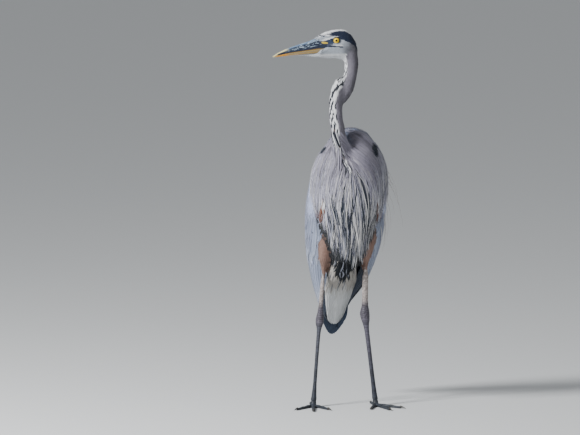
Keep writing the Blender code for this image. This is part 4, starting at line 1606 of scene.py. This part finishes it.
sweep("breast_veil", paths, outs, halves, tint, tint * 0.95)

# %% [markdown]
# ## Mantle
# Behind the neck the back is covered by the mantle: narrow blue-grey feathers that spread like a
# cape from the base of the neck over the shoulders, so even that they read as fine rays.

# %% Mantle
MANTLE_STATIONS = 9


def cape_roots(angles, heights, gap, tries):
    """Roots over the outline between two angles from the breast and two heights."""
    found = []
    for a, h in zip(rng.uniform(*angles, tries), rng.uniform(*heights, tries)):
        hit = outer_point((0, -50), a, h)
        if hit is not None:
            found.append(hit)
    found = np.array(found)
    return found[thinned(found, gap * MM)]


def off_the_neck(paths):
    """Which paths stay clear of the neck where it rises out of the cape."""
    places = to_bird(paths.reshape(-1, 3))
    middle = [np.interp(places[:, 2], NECK_LINE[::-1, 2], NECK_LINE[::-1, axis]) for axis in (0, 1)]
    near = np.hypot(places[:, 0] - middle[0], places[:, 1] - middle[1]) < 27
    return ~(near & (places[:, 2] > 640)).reshape(paths.shape[:2]).any(1)


def cape_lie(points):
    """Rays from the base of the neck, bending down the back."""
    places = to_bird(points)
    away = places - np.array((-6, -78, 668))
    near = 1 - ramp(50, 170, np.linalg.norm(away, axis=1))
    return unit(blend(np.array((0, 0.42, -0.9)), unit(away) * 1.2, near * 0.85))


roots = cape_roots((45, 315), (578, 678), 3.5, 9000)
count = len(roots)
place = to_bird(roots)
reach = rng.uniform(34, 56, count)
lift = np.linspace(-2.0, 0.8, MANTLE_STATIONS)
paths, outs = drape(roots, cape_lie, reach, lift)
halves = taper(MANTLE_STATIONS, 0.45, 0.5, 0.08) * rng.uniform(2.1, 3.2, (count, 1))
tint = blend(MANTLE, BACK, rng.random(count) * 0.7)
tint = blend(tint, MAUVE_PLUME, ramp(62, 36, np.linalg.norm(place - (-38, -117, 655), axis=1)))
tint = tint * rng.normal(1, 0.05, (count, 1))
edge = blend(tint, PALE_PLUME, np.full(count, 0.25))
clear = off_the_neck(paths)
sweep("mantle", *(rows[clear] for rows in (paths, outs, halves, tint, edge)))

# %% [markdown]
# ## Scapulars
# Broader, longer feathers run from the shoulders down over the upper back and the roots of the wings.

# %% Scapulars
SCAPULAR_STATIONS = 11
roots = cape_roots((104, 256), (452, 600), 7.0, 4000)
count = len(roots)
reach = rng.uniform(70, 115, count)
lift = np.linspace(-3.0, 1.6, SCAPULAR_STATIONS)
paths, outs = drape(roots, wing_lie, reach, lift)
halves = taper(SCAPULAR_STATIONS, 0.45, 0.4, 0.08) * rng.uniform(3.8, 5.2, (count, 1))
tint = blend(BACK, MANTLE, rng.random(count)) * rng.normal(1, 0.06, (count, 1))
sweep("scapulars", paths, outs, halves, tint, blend(tint, PALE_PLUME, np.full(count, 0.4)))

# %% [markdown]
# ## Folded wings
# A folded wing is a stack of tiles. The small coverts are already planted. Under them come the long
# quills: secondaries and the broad inner feathers, pale blue-grey with lighter rims, and below and
# within them the dark slate primaries, whose tips cross under the tail. Each quill runs from its
# socket towards the wing's tip, on the outside of the wing.

# %% Wings
QUILL_STATIONS = 12
SECONDARY = linear("#929bb1")
TERTIAL = linear("#79839a")
PRIMARY = linear("#263245")
PALE_RIM = linear("#b4bac8")
wing_shells = {
    side: bvh_of(fused("wing_shell_" + side, ("wing_" + side, "flight_feathers_" + side), 3.4, 5, 0.4))
    for side in ("left", "right")
}
# The form of the folded wings, in rows of (height, middle, depth before, depth behind, half width) in mm.
CLOAK = np.array((
    (170, 168, 8, 10, 10), (210, 140, 24, 31, 35), (250, 115, 34, 43, 51), (300, 86, 46, 56, 69),
    (350, 58, 62, 68, 83), (445, 12, 80, 84, 95), (560, -42, 76, 86, 90), (640, -66, 46, 56, 57),
))
TIP_NARROWING = {"left": ((170, 215, 245, 290), (0, 11, 10, 0)), "right": ((170, 290), (0, 0))}


def cloak_place(sign, angle, height):
    """A place on the folded wings' form, at an angle from the front in degrees."""
    middle_y, before, behind, half = [np.interp(height, CLOAK[:, 0], CLOAK[:, c]) for c in range(1, 5)]
    turn = math.radians(angle)
    deep = before if math.cos(turn) > 0 else behind
    return from_bird((sign * half * math.sin(turn), middle_y - deep * math.cos(turn), height))


def quill_path(side, start, end, lift):
    """Stations on the outside of a folded wing between two (angle, height) places."""
    sign = 1 if side == "left" else -1
    path, outs = [], []
    for t in np.linspace(0, 1, QUILL_STATIONS):
        angle = start[0] + (end[0] - start[0]) * t
        height = start[1] + (end[1] - start[1]) * t
        place = cloak_place(sign, angle, height)
        ahead = cloak_place(sign, angle + 6, height) - cloak_place(sign, angle - 6, height)
        above = cloak_place(sign, angle, height + 8) - cloak_place(sign, angle, height - 8)
        facing = unit(np.cross(ahead, above) * sign)
        hit, normal, _, distance = wing_shells[side].find_nearest(Vector(place))
        if distance < 0.012 and np.array(normal) @ facing > 0.3:
            place = np.array(hit)
        place[0] -= sign * np.interp(height, *TIP_NARROWING[side]) * MM
        path.append(place + facing * (lift[0] + (lift[1] - lift[0]) * t) * MM)
        outs.append(facing)
    return np.array(path), np.array(outs)


def quill_row(side, count, starts, ends, lift, width, colour, rim, ragged=2.5):
    """A row of quills: starts and ends are the (angle, height) of the first and the last of the row."""
    rows = []
    for i in range(count):
        s = i / (count - 1)
        start = [a + (b - a) * s for a, b in zip(*starts)]
        end = [a + (b - a) * s for a, b in zip(*ends)]
        start[1] += rng.normal(0, 2)
        end[1] += rng.normal(0, ragged)
        step = (lift[0] + 0.35 * (i % 2), lift[1] + 0.6 * s)
        path, outs = quill_path(side, start, end, step)
        shade = rng.normal(1, 0.06)
        # The front quills of the bird's left wing are darkened: partly the dark primaries that show there,
        # partly painted shade, as that wing lies on the shaded side.
        if side == "left":
            shade *= np.interp(s, (0, 0.4), (0.66, 1))
        rows.append((path, outs, width, colour * shade, rim * shade))
    return rows


quills = []
for side, front_end in (("left", 322), ("right", 268)):
    for row in (
        (9, ((36, 352), (96, 345)), ((48, 216), (104, 172)), (-4.5, -4.0), 9.5, PRIMARY, PRIMARY),
        (13, ((40, 425), (112, 430)), ((42, front_end), (128, 205)), (-2.5, -0.8), 10.5, SECONDARY, PALE_RIM),
        (9, ((104, 440), (164, 470)), ((120, 222), (170, 196)), (-1.8, 0.6), 13.0, TERTIAL, PALE_RIM),
        (13, ((42, 450), (110, 470)), ((42, 345), (118, 325)), (-1.5, 0.4), 7.0, SECONDARY, PALE_RIM, 16),
    ):
        quills += quill_row(side, *row)
paths, outs, widths, tint, rims = (np.array(field) for field in zip(*quills))
halves = taper(QUILL_STATIONS, 0.45, 0.35, 0.16, 1.4) * widths[:, None]
sweep("wing_quills", paths, outs, halves, tint, rims, QUILL_SECTION, FLIGHT)

# %% [markdown]
# ## Tail
# The tail is short, with a rounded end: twelve dark slate feathers, the middle pair on top. From
# below it is mostly hidden by a soft white tongue, so only a dark rim shows round it.

# %% Tail
TAIL_HEIGHTS = (152, 160, 180, 205, 235, 270, 292)
TAIL_WIDTHS = (17, 19, 22, 23, 25, 24, 22)
TAIL_MIDDLES = (180, 176, 165, 150, 133, 112, 96)


def tail_quill(share, stack):
    """One tail feather. share runs from -1 on the right to 1 on the left."""
    end = 154 + 30 * abs(share) ** 2.4
    heights = np.linspace(290, end, QUILL_STATIONS)
    t = np.linspace(0, 1, QUILL_STATIONS)
    half = np.interp(heights, TAIL_HEIGHTS, TAIL_WIDTHS)
    x = share * ((1 - t) * 15.0 + t * half) - 2.0
    y = np.interp(heights, TAIL_HEIGHTS, TAIL_MIDDLES) + stack - 1.5 * (x / 30) ** 2
    path = from_bird(np.stack([x, y, heights], 1))
    facing = np.tile(unit(np.array((share * 0.25, 1.0, 0.35))), (QUILL_STATIONS, 1))
    return path, along_surface(facing, unit(np.gradient(path, axis=0)))


TAIL_FEATHERS = 12
shares = [-1 + 2 * i / (TAIL_FEATHERS - 1) for i in range(TAIL_FEATHERS)]
feathers = [tail_quill(share, 4.5 * (1 - abs(share)) - 1.5) for share in shares]
paths, outs = (np.array(field) for field in zip(*feathers))
halves = np.tile(taper(QUILL_STATIONS, 0.6, 0.45, 0.12, 2.6) * 10.5, (TAIL_FEATHERS, 1))
tone = rng.normal(1, 0.06, (TAIL_FEATHERS, 1))
sweep("tail_feathers", paths, outs, halves, SLATE * tone, SLATE * tone * 1.35, QUILL_SECTION, FLIGHT)

# %% [markdown]
# ## Under-tail coverts
# A soft white tongue of downy feathers runs from between the thighs to the tip of the tail. Its form
# is a short table, and the feathers lie on it. At its root some dark tufts of the belly hang over it.

# %% Under-tail coverts
# Rows of (height, front, half width, depth) in mm.
TONGUE = np.array((
    (345, -26, 26, 20), (322, -8, 32, 22), (300, 10, 35, 20), (280, 36, 34, 18), (248, 76, 29, 14),
    (221, 112, 23, 9), (203, 134, 19, 7), (191, 147, 15, 5), (184, 155, 9, 3), (180, 159, 3, 1),
))
TONGUE_SLOPE = 0.80
COVERT_STATIONS = 9
TONGUE_SHIFTS = ((200, 245, 280), (-1.0, -4.5, -6.0))
CREAM_TUFT = linear("#9b9791")


def tongue_place(turn, height, lift):
    """A place on the soft tongue, at a turn in degrees from its middle."""
    front, half, deep = [np.interp(height, TONGUE[::-1, 0], TONGUE[::-1, c]) for c in range(1, 4)]
    a = np.radians(turn)
    x = np.interp(height, *TONGUE_SHIFTS) + (half + lift) * np.sin(a)
    return np.stack([x, front - lift + (deep + lift) * (1 - np.cos(a)), height], -1)


under = []
for turn, height in zip(rng.uniform(-88, 88, 2400), rng.uniform(198, 354, 2400)):
    under.append((*tongue_place(turn, height, 0.0), turn, height))
under = np.array(under)
under = under[thinned(under[:, :3] * MM, 3.9 * MM)]
count = len(under)
height = under[:, 4]
reach = np.minimum(rng.uniform(40, 60, count), (height - 182 + rng.uniform(-3, 2, count)) / TONGUE_SLOPE)
t = np.linspace(0, 1, COVERT_STATIONS)
heights = under[:, 4:5] - reach[:, None] * TONGUE_SLOPE * t
turns = under[:, 3:4] * (1 - 0.06 * t) + rng.normal(0, 6, (count, 1)) * t
lift = -1.0 + 2.2 * t + rng.uniform(-0.5, 0.5, (count, 1))
paths = from_bird(tongue_place(turns, heights, lift))
run = unit(np.gradient(paths, axis=1))
a = np.radians(turns)
outs = along_surface(np.stack([np.sin(a), -np.cos(a), np.full_like(a, -0.5)], -1), run)
halves = taper(COVERT_STATIONS, 0.5, 0.4, 0.10, 0.9) * rng.uniform(2.2, 3.8, (count, 1))
tint = blend(UNDERTAIL, CREAM_TUFT, ramp(285, 312, height))
flecked = (rng.random(count) < 0.22) & (height > 300)
halves = halves * np.where(flecked, 0.45, 1.0)[:, None]
tint = np.where(flecked[:, None], GREY_PLUME * 0.6, tint) * rng.normal(1.0, 0.07, (count, 1))
inner = 300 + 1.7 * np.abs(under[:, 0] + 6)
tint = np.where((height > inner + 22)[:, None], BELLY, tint)
tufts = np.flatnonzero(height > np.maximum(314, inner + 4))
dangle = np.maximum(height[tufts] - inner[tufts], 14)[:, None] / TONGUE_SLOPE
tuft_heights = under[tufts, 4:5] - dangle * TONGUE_SLOPE * t
tuft_turns = turns[tufts] + rng.normal(0, 7, (len(tufts), 1)) * t
hung = from_bird(tongue_place(tuft_turns, tuft_heights, 2.0 + 3.0 * t))
hung = each_waved(hung, outs[tufts], (1, 3.5), (4, 8))
tuft_tint = np.where((rng.random(len(tufts)) < 0.84)[:, None], BELLY, GREY_PLUME)
paths, outs = np.concatenate([paths, hung]), np.concatenate([outs, outs[tufts]])
halves, tint = np.concatenate([halves, halves[tufts] * 0.6]), np.concatenate([tint, tuft_tint])
sweep("undertail_coverts", paths, outs, halves, tint, tint * 0.95)

# %% [markdown]
# ## Streaks
# Down the foot of the neck run long black and white plumes, side by side, which flow out over the
# breast along the parting.

# %% Streaks


def from_before(x, height):
    """Where the outline lies behind a place seen from straight in front, in mm."""
    return outline_bvh.ray_cast(Vector(from_bird((x, -260, height))), Vector((0, 1, 0)))[0]


roots = []
for across, h in zip(rng.uniform(-5.0, 6.5, 900), rng.uniform(598, 676, 900)):
    hit = from_before(parting(h) + across, h)
    if hit is not None:
        roots.append(hit)
roots = np.array(roots)
roots = roots[thinned(roots, 3.2 * MM)]
count = len(roots)


def streak_lie(points):
    """Down along the parting."""
    height = to_bird(points)[:, 2]
    step = parting(height - 5) - parting(height + 5)
    return unit(np.stack([step / 10, np.full_like(step, -0.1), -np.ones_like(step)], 1))


lift = np.linspace(-0.6, 1.4, PLUME_STATIONS)
reach = rng.uniform(28, 54, count)
paths, outs = drape(roots, streak_lie, reach, lift)
halves = taper(PLUME_STATIONS, 0.3, 0.5, 0.07) * rng.uniform(0.9, 1.5, (count, 1))
pick = rng.random(count)
tint = np.where((pick < 0.42)[:, None], WHITE, DASH)
tint = np.where((pick > 0.95)[:, None], RUST, tint) * rng.normal(1, 0.05, (count, 1))
sweep("neck_streaks", paths, outs, halves, tint, tint * 0.85)

# %% [markdown]
# ## Loose plumes
# A few of the longest breast plumes have come loose at the bird's left side and hang clear of the
# body as fine white threads. Each is a bowed line between the place where it leaves and its end.

# %% Loose plumes
LOOSE_STARTS = np.array((
    (72, -58, 590), (78, -50, 572), (82, -44, 556), (80, -40, 520), (84, -34, 500), (82, -30, 470),
    (86, -24, 452), (76, -40, 540), (80, -20, 432), (-70, -70, 572), (74, -60, 600), (82, -36, 486),
), float)
LOOSE_ENDS = np.array((
    (118, -40, 505), (124, -36, 470), (132, -30, 430), (104, -20, 425), (96, -16, 402), (90, -10, 382),
    (85, -6, 368), (112, -30, 462), (80, 0, 372), (-88, -74, 556), (100, -46, 520), (88, -12, 388),
), float)
t = np.linspace(0, 1, PLUME_STATIONS)[:, None]
threads = []
for start, end in zip(LOOSE_STARTS, LOOSE_ENDS):
    bow = np.array((0.35, -0.15, 0.25)) * np.linalg.norm(end - start) * 0.35
    threads.append(start * (1 - t) + end * t + bow * t * (1 - t) * 2)
paths = from_bird(np.array(threads))
outs = along_surface(np.tile((0.0, -1.0, 0.0), (*paths.shape[:2], 1)), unit(np.gradient(paths, axis=1)))
halves = np.tile(taper(PLUME_STATIONS, 0.2, 0.7, 0.25) * 0.8, (len(paths), 1))
tint = np.tile(CREAM_PLUME, (len(paths), 1))
sweep("loose_plumes", paths, outs, halves, tint, tint * 0.9)

# %% [markdown]
# ## Patches on the shoulder and the bend of the wing
# A small black patch marks each shoulder. Where the folded wing's front edge meets the breast, a
# narrow row of chestnut feathers shows, with a few white ones at its head. Both lie over the plumes.

# %% Patches
PATCH_STATIONS = 7
# Rows of (middle, half width, half height, number of feathers).
PATCHES = {
    "shoulder": (((-66, 634), 6, 10, 60), ((47, 627), 5, 12, 60)),
    "bend": (
        ((-69, 498), 3.0, 12, 34), ((-73, 475), 3.0, 14, 34), ((57, 502), 2.0, 14, 24),
        ((62, 478), 2.0, 14, 24),
    ),
}
spots = []
for kind, places in PATCHES.items():
    for (x, h), half, tall, many in places:
        for _ in range(many):
            turn, reach = rng.uniform(0, math.tau), rng.random() ** 0.5
            height = h + tall * reach * math.sin(turn)
            hit = from_before(x + half * reach * math.cos(turn), height)
            if hit is not None:
                spots.append((*hit, kind == "shoulder", height))
spots = np.array(spots)
spots = spots[thinned(spots[:, :3], 1.6 * MM)]
count = len(spots)
shoulder = spots[:, 3] > 0
reach = np.where(shoulder, rng.uniform(11, 16, count), rng.uniform(16, 24, count))
lift = np.linspace(1.6, 4.0, PATCH_STATIONS)
paths, outs = drape(spots[:, :3], fan_lie, reach, lift)
widths = np.where(shoulder, 1.7, 1.1)[:, None] * rng.uniform(0.8, 1.2, (count, 1))
halves = taper(PATCH_STATIONS, 0.5, 0.5, 0.15) * widths
white = rng.random(count) < ramp(482, 505, spots[:, 4]) * 0.6
tint = np.where(shoulder[:, None], SHOULDER, np.where(white[:, None], WHITE, CHESTNUT))
tint = tint * rng.normal(1, 0.1, (count, 1))
sweep("shoulder_patches", paths, outs, halves, tint, tint * 0.9)
print("coat faces", sum(len(coat.data.polygons) for coat in COATS.values()))

# %% [markdown]
# ## Eyes
# The eye is a ball with a bright yellow iris round a small black pupil, and a dark rim where the iris
# meets the white. It looks outwards and a little forward. Each point of the ball keeps its distance
# from the way the eye looks, and the iris is painted by that distance.

# %% Eyes
# Radii in mm.
PUPIL = 2.6
IRIS = 6.4


def eyeball(side):
    look = gaze(side)
    shape = bmesh.new()
    bmesh.ops.create_uvsphere(shape, u_segments=64, v_segments=48, radius=EYE_RADIUS)
    turn = look.to_track_quat("Z", "Y").to_matrix().to_4x4()
    mesh = bpy.data.meshes.new("eyeball_" + side)
    polar = []
    for vertex in shape.verts:
        reach = math.hypot(vertex.co.x, vertex.co.y)
        spin = math.atan2(vertex.co.y, vertex.co.x)
        polar.append((reach / MM if vertex.co.z > 0 else 12.0, spin, 0))
        if vertex.co.z > 0:
            vertex.co.z += 0.5 * MM * ramp(7.0, 3.0, reach / MM)
    shape.transform(Matrix.Translation(EYES[side]) @ turn)
    shape.to_mesh(mesh)
    shape.free()
    put_attributes(mesh, "FLOAT_VECTOR", iris=polar)
    mesh.shade_smooth()
    return link_object("eyeball_" + side, mesh)


def eye_material():
    material, tree, shader = new_material(
        "wet_eye", Roughness=0.12, IOR=1.38, Coat_Weight=0.2, Coat_Roughness=0.02
    )
    iris = add(tree, "Attribute", attribute_name="iris").outputs["Vector"]
    reach = add(tree, "SeparateXYZ", {0: iris}).outputs["X"]
    fine = add(tree, "VectorMath", {0: iris, 1: (0.35, 7.0, 1.0)}, operation="MULTIPLY")
    rays = add(tree, "TexNoise", {"Vector": fine, "Scale": 1.0, "Detail": 3.0})
    colour = add(tree, "Mix", {0: rays, 6: rgba("#ecca00"), 7: rgba("#d3a400")}, data_type="RGBA").outputs[2]
    inner = add(tree, "MapRange", {0: reach, 1: PUPIL - 0.15, 2: PUPIL + 0.15})
    outer = add(tree, "MapRange", {0: reach, 1: IRIS - 0.25, 2: IRIS + 0.25})
    colour = add(tree, "Mix", {0: inner, 6: rgba("#060607"), 7: colour}, data_type="RGBA").outputs[2]
    colour = add(tree, "Mix", {0: outer, 6: colour, 7: rgba("#15171b")}, data_type="RGBA").outputs[2]
    give(shader, {"Base Color": colour})
    return material


WET_EYE = eye_material()
eyeballs = {side: eyeball(side) for side in ("left", "right")}
for ball in eyeballs.values():
    ball.data.materials.append(WET_EYE)
print("eyeball faces", len(eyeballs["left"].data.polygons))

# %% [markdown]
# ## Claws
# Each toe ends in a dark, slightly curved claw. The solid claw gives where it starts and ends, and a
# fine tapering tube is laid between, bent down a little at its tip.

# %% Claws
CLAW_RINGS = 26
CLAW_SIDES = 16


def claw(node, foot):
    raw, _, _ = mesh_arrays(frame["nodes"][node].data)
    points = np.unique(np.round(raw, 6), axis=0)
    ankle = np.array(middle(foot))
    away = unit((points.mean(0) - ankle) * (1, 1, 0))
    reach = points @ away
    tip = points[reach.argmax()]
    near = points[reach < reach.min() + 0.0012]
    base = (near.min(0) + near.max(0)) / 2 - away * 1.5 * MM
    radius = np.linalg.norm(near - near.mean(0), axis=1).max() * 0.92
    knee = (base + tip) / 2 + np.array((0, 0, 1.6 * MM))
    rings, spots = [], []
    for i in range(CLAW_RINGS):
        t = i / (CLAW_RINGS - 1)
        spot = base * (1 - t) ** 2 + knee * 2 * t * (1 - t) + tip * t * t
        run = unit((knee - base) * (1 - t) + (tip - knee) * t)
        across = unit(np.cross((0, 0, 1), run))
        rise = np.cross(run, across)
        size = radius * (1 - t) ** 0.75 + 0.00015
        ring = []
        for k in range(CLAW_SIDES):
            a = math.tau * k / CLAW_SIDES
            place = spot + across * math.cos(a) * size * 0.8 + rise * math.sin(a) * size
            place[2] = max(place[2], 0.0001)
            ring.append(place)
            spots.append((t, k / CLAW_SIDES, 0))
        rings.append(ring)
    mesh = loft("horn_" + node, rings)
    put_attributes(mesh, "FLOAT_VECTOR", claw=spots)
    return link_object("horn_" + node, mesh)


def claw_horn():
    material, tree, shader = new_material("claw_horn", Roughness=0.35, IOR=1.54)
    place = add(tree, "Attribute", attribute_name="claw").outputs["Vector"]
    stretched = add(tree, "VectorMath", {0: place, 1: (3.0, 14.0, 1.0)}, operation="MULTIPLY")
    grain = add(tree, "TexNoise", {"Vector": stretched, "Scale": 1.0, "Detail": 4.0})
    share = add(tree, "MapRange", {0: grain, 1: 0.35, 2: 0.7})
    colour = add(tree, "Mix", {0: share, 6: rgba("#1d1c20"), 7: rgba("#4a463f")}, data_type="RGBA")
    bump = add(tree, "Bump", {"Strength": 0.25, "Distance": 0.15 * MM, "Height": grain})
    give(shader, {"Base Color": colour.outputs[2], "Normal": bump})
    return material


CLAW_HORN = claw_horn()
claws = {}
for side in ("left", "right"):
    for toe in ("inner", "middle", "outer", "hind"):
        node = f"claw_{side}_{toe}"
        claws[node] = claw(node, "foot_" + side)
        claws[node].data.materials.append(CLAW_HORN)
print("claws", len(claws))

# %% [markdown]
# ## Skin colours
# Under the feathers the skin takes the plumage's own colours, darkened as painted shade, so that no gap in
# the coat shows bright. The bare legs go from a pinkish grey above the heel to dark slate at the toes,
# each scale a slightly different tone with a darker seam round it, and the upper tarsus of the bird's
# left leg is painted lighter than the right one's, as painted light. The lids are dark.

# %% Skin colours
# Painted shade: the skin under the coat is darkened, as the feathers over it shade it.
UNDER_COAT_SHADE = 0.62
PINK = linear("#aaa09c")
HEEL = linear("#524e59")
TOE_SKIN = linear("#30353d")
nearest_flesh = np.minimum(skin_region, len(FLESH) - 1)
skin_colour = by_region(PLUMAGE, nearest_flesh, skin_places) * UNDER_COAT_SHADE
lore = (skin_region == 0) & (to_head(skin_places)[:, 0] > 4)
skin_colour[lore] = head_colour(skin_places[lore]) * 0.9
legs = skin_region == LEG
place = to_bird(skin_places[legs])
left_leg = place[:, 0] > 0
heel_drop = np.where(left_leg, HEEL_DROP["left"], HEEL_DROP["right"])
height = place[:, 2] + heel_drop * np.exp(-(((place[:, 2] - 210) / 40) ** 2))
# Painted light: the upper tarsus of the bird's left leg is painted lighter than the right one's; the lower
# tarsus is nearly the same on both.
upper_tarsus = np.where(left_leg[:, None], linear("#4a4854"), linear("#3f414b"))
lower_tarsus = np.where(left_leg[:, None], linear("#272b36"), linear("#272c36"))
shade = layered(
    PINK, (HEEL, ramp(262, 236, height)), (upper_tarsus, ramp(215, 190, height)),
    (lower_tarsus, ramp(180, 50, height)), (TOE_SKIN, ramp(28, 10, height)),
)
mottle = (0.62 + 0.76 * scale_tone) * (1 - 0.55 * np.clip(scale_groove / 0.35, 0, 1))
skin_colour[legs] = shade * mottle[:, None]
skin_colour[skin_region == LID] = linear("#1c2532")
put_attributes(skin_mesh, "FLOAT_COLOR", tint=skin_colour)


def skin_material():
    material, tree, shader = new_material("leathery_skin", Roughness=0.52, Specular_IOR_Level=0.4)
    tint = add(tree, "Attribute", attribute_name="tint")
    place = add(tree, "TexCoord").outputs["Object"]
    pores = add(tree, "TexNoise", {"Vector": place, "Scale": 1 / (1.1 * MM), "Detail": 3.0})
    shade = add(tree, "MapRange", {0: pores, 1: 0.3, 2: 0.7, 3: 0.82, 4: 1.18})
    colour = add(tree, "VectorMath", {0: tint, 3: shade}, operation="SCALE")
    bump = add(tree, "Bump", {"Strength": 0.4, "Distance": 0.2 * MM, "Height": pores})
    give(shader, {"Base Color": colour, "Normal": bump})
    return material


skin_mesh.materials.clear()
skin_mesh.materials.append(skin_material())
skin_mesh.shade_smooth()
print("skin materials", len(skin_mesh.materials))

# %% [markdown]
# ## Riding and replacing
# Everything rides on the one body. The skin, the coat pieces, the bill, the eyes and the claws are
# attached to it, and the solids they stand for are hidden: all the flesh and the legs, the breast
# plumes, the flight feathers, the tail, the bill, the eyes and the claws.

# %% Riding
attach(skin, "root")
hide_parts(*FLESH, *LEGS)
for coat in COATS.values():
    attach(coat, "root")
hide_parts("breast_plumes")
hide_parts("flight_feathers_left", "flight_feathers_right")
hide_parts("tail")
for piece, node, slot in (
    (bill_top, "bill_upper", "bill_horn"), (bill_bottom, "bill_lower", "bill_yellow"),
    (eyeballs["left"], "eye_left", "eye"), (eyeballs["right"], "eye_right", "eye"),
    *((piece, node, "claw_horn") for node, piece in claws.items()),
):
    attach(piece, "root")
    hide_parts(node)

# %% [markdown]
# ## Camera, floor and light
# The bird is seen from a little to its right and slightly above, from far off, with a long lens. The
# light is a large soft lamp in front and above on the left, a weak one from the right to open the
# shadows, and a pale sky all round.

# %% Camera
AZIMUTH, ELEVATION = math.radians(-10), math.radians(6)
DISTANCE = 40.0
RIGHT = Vector((math.cos(AZIMUTH), math.sin(AZIMUTH), 0))
BACKWARD = Vector((
    math.sin(AZIMUTH) * math.cos(ELEVATION), -math.cos(AZIMUTH) * math.cos(ELEVATION), math.sin(ELEVATION)
))
VIEW_UP = BACKWARD.cross(RIGHT)
aim = BODY_ORIGIN - RIGHT * 0.1333 + VIEW_UP * 0.4500
camera_data = bpy.data.cameras.new("camera")
camera = link_object("camera", camera_data)
turn = Matrix((RIGHT, VIEW_UP, BACKWARD)).transposed().to_4x4()
camera.matrix_world = Matrix.Translation(aim + BACKWARD * DISTANCE) @ turn
camera_data.lens = 1043.2
camera_data.clip_end = 200
bpy.context.scene.camera = camera

# %% Floor and light
floor_mesh = bpy.data.meshes.new("floor")
floor_mesh.from_pydata([(-20, -20, 0), (20, -20, 0), (20, 20, 0), (-20, 20, 0)], [], [(0, 1, 2, 3)])
floor = link_object("floor", floor_mesh)
plaster, _, _ = new_material("pale_plaster", Base_Color=rgba("#d9dbdc"), Roughness=0.9)
floor_mesh.materials.append(plaster)
floor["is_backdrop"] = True


def lamp(name, place, size, power):
    light = bpy.data.lights.new(name, "AREA")
    light.energy = power
    light.size = size
    obj = link_object(name, light)
    obj.location = place
    obj.rotation_euler = (Vector((0, 0, 0.45)) - obj.location).to_track_quat("-Z", "Y").to_euler()


lamp("key", (-3.2, -1.9, 2.9), 1.0, 335)
lamp("fill", (3.0, -3.0, 1.6), 3.0, 7)
world = bpy.data.worlds.new("studio")
bpy.context.scene.world = world
world.use_nodes = True
world.node_tree.nodes["Background"].inputs["Color"].default_value = rgba("#e8ebee")
world.node_tree.nodes["Background"].inputs["Strength"].default_value = 0.46
print("camera at", [round(c, 2) for c in camera.location])

# %% Sizes
low, high = CAD_BOX
seen_low, seen_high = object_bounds()
below = [round((a - b) / MM, 1) for a, b in zip(low, seen_low)]
above = [round((a - b) / MM, 1) for a, b in zip(seen_high, high)]
print("outside the CAD box by mm", below, above)
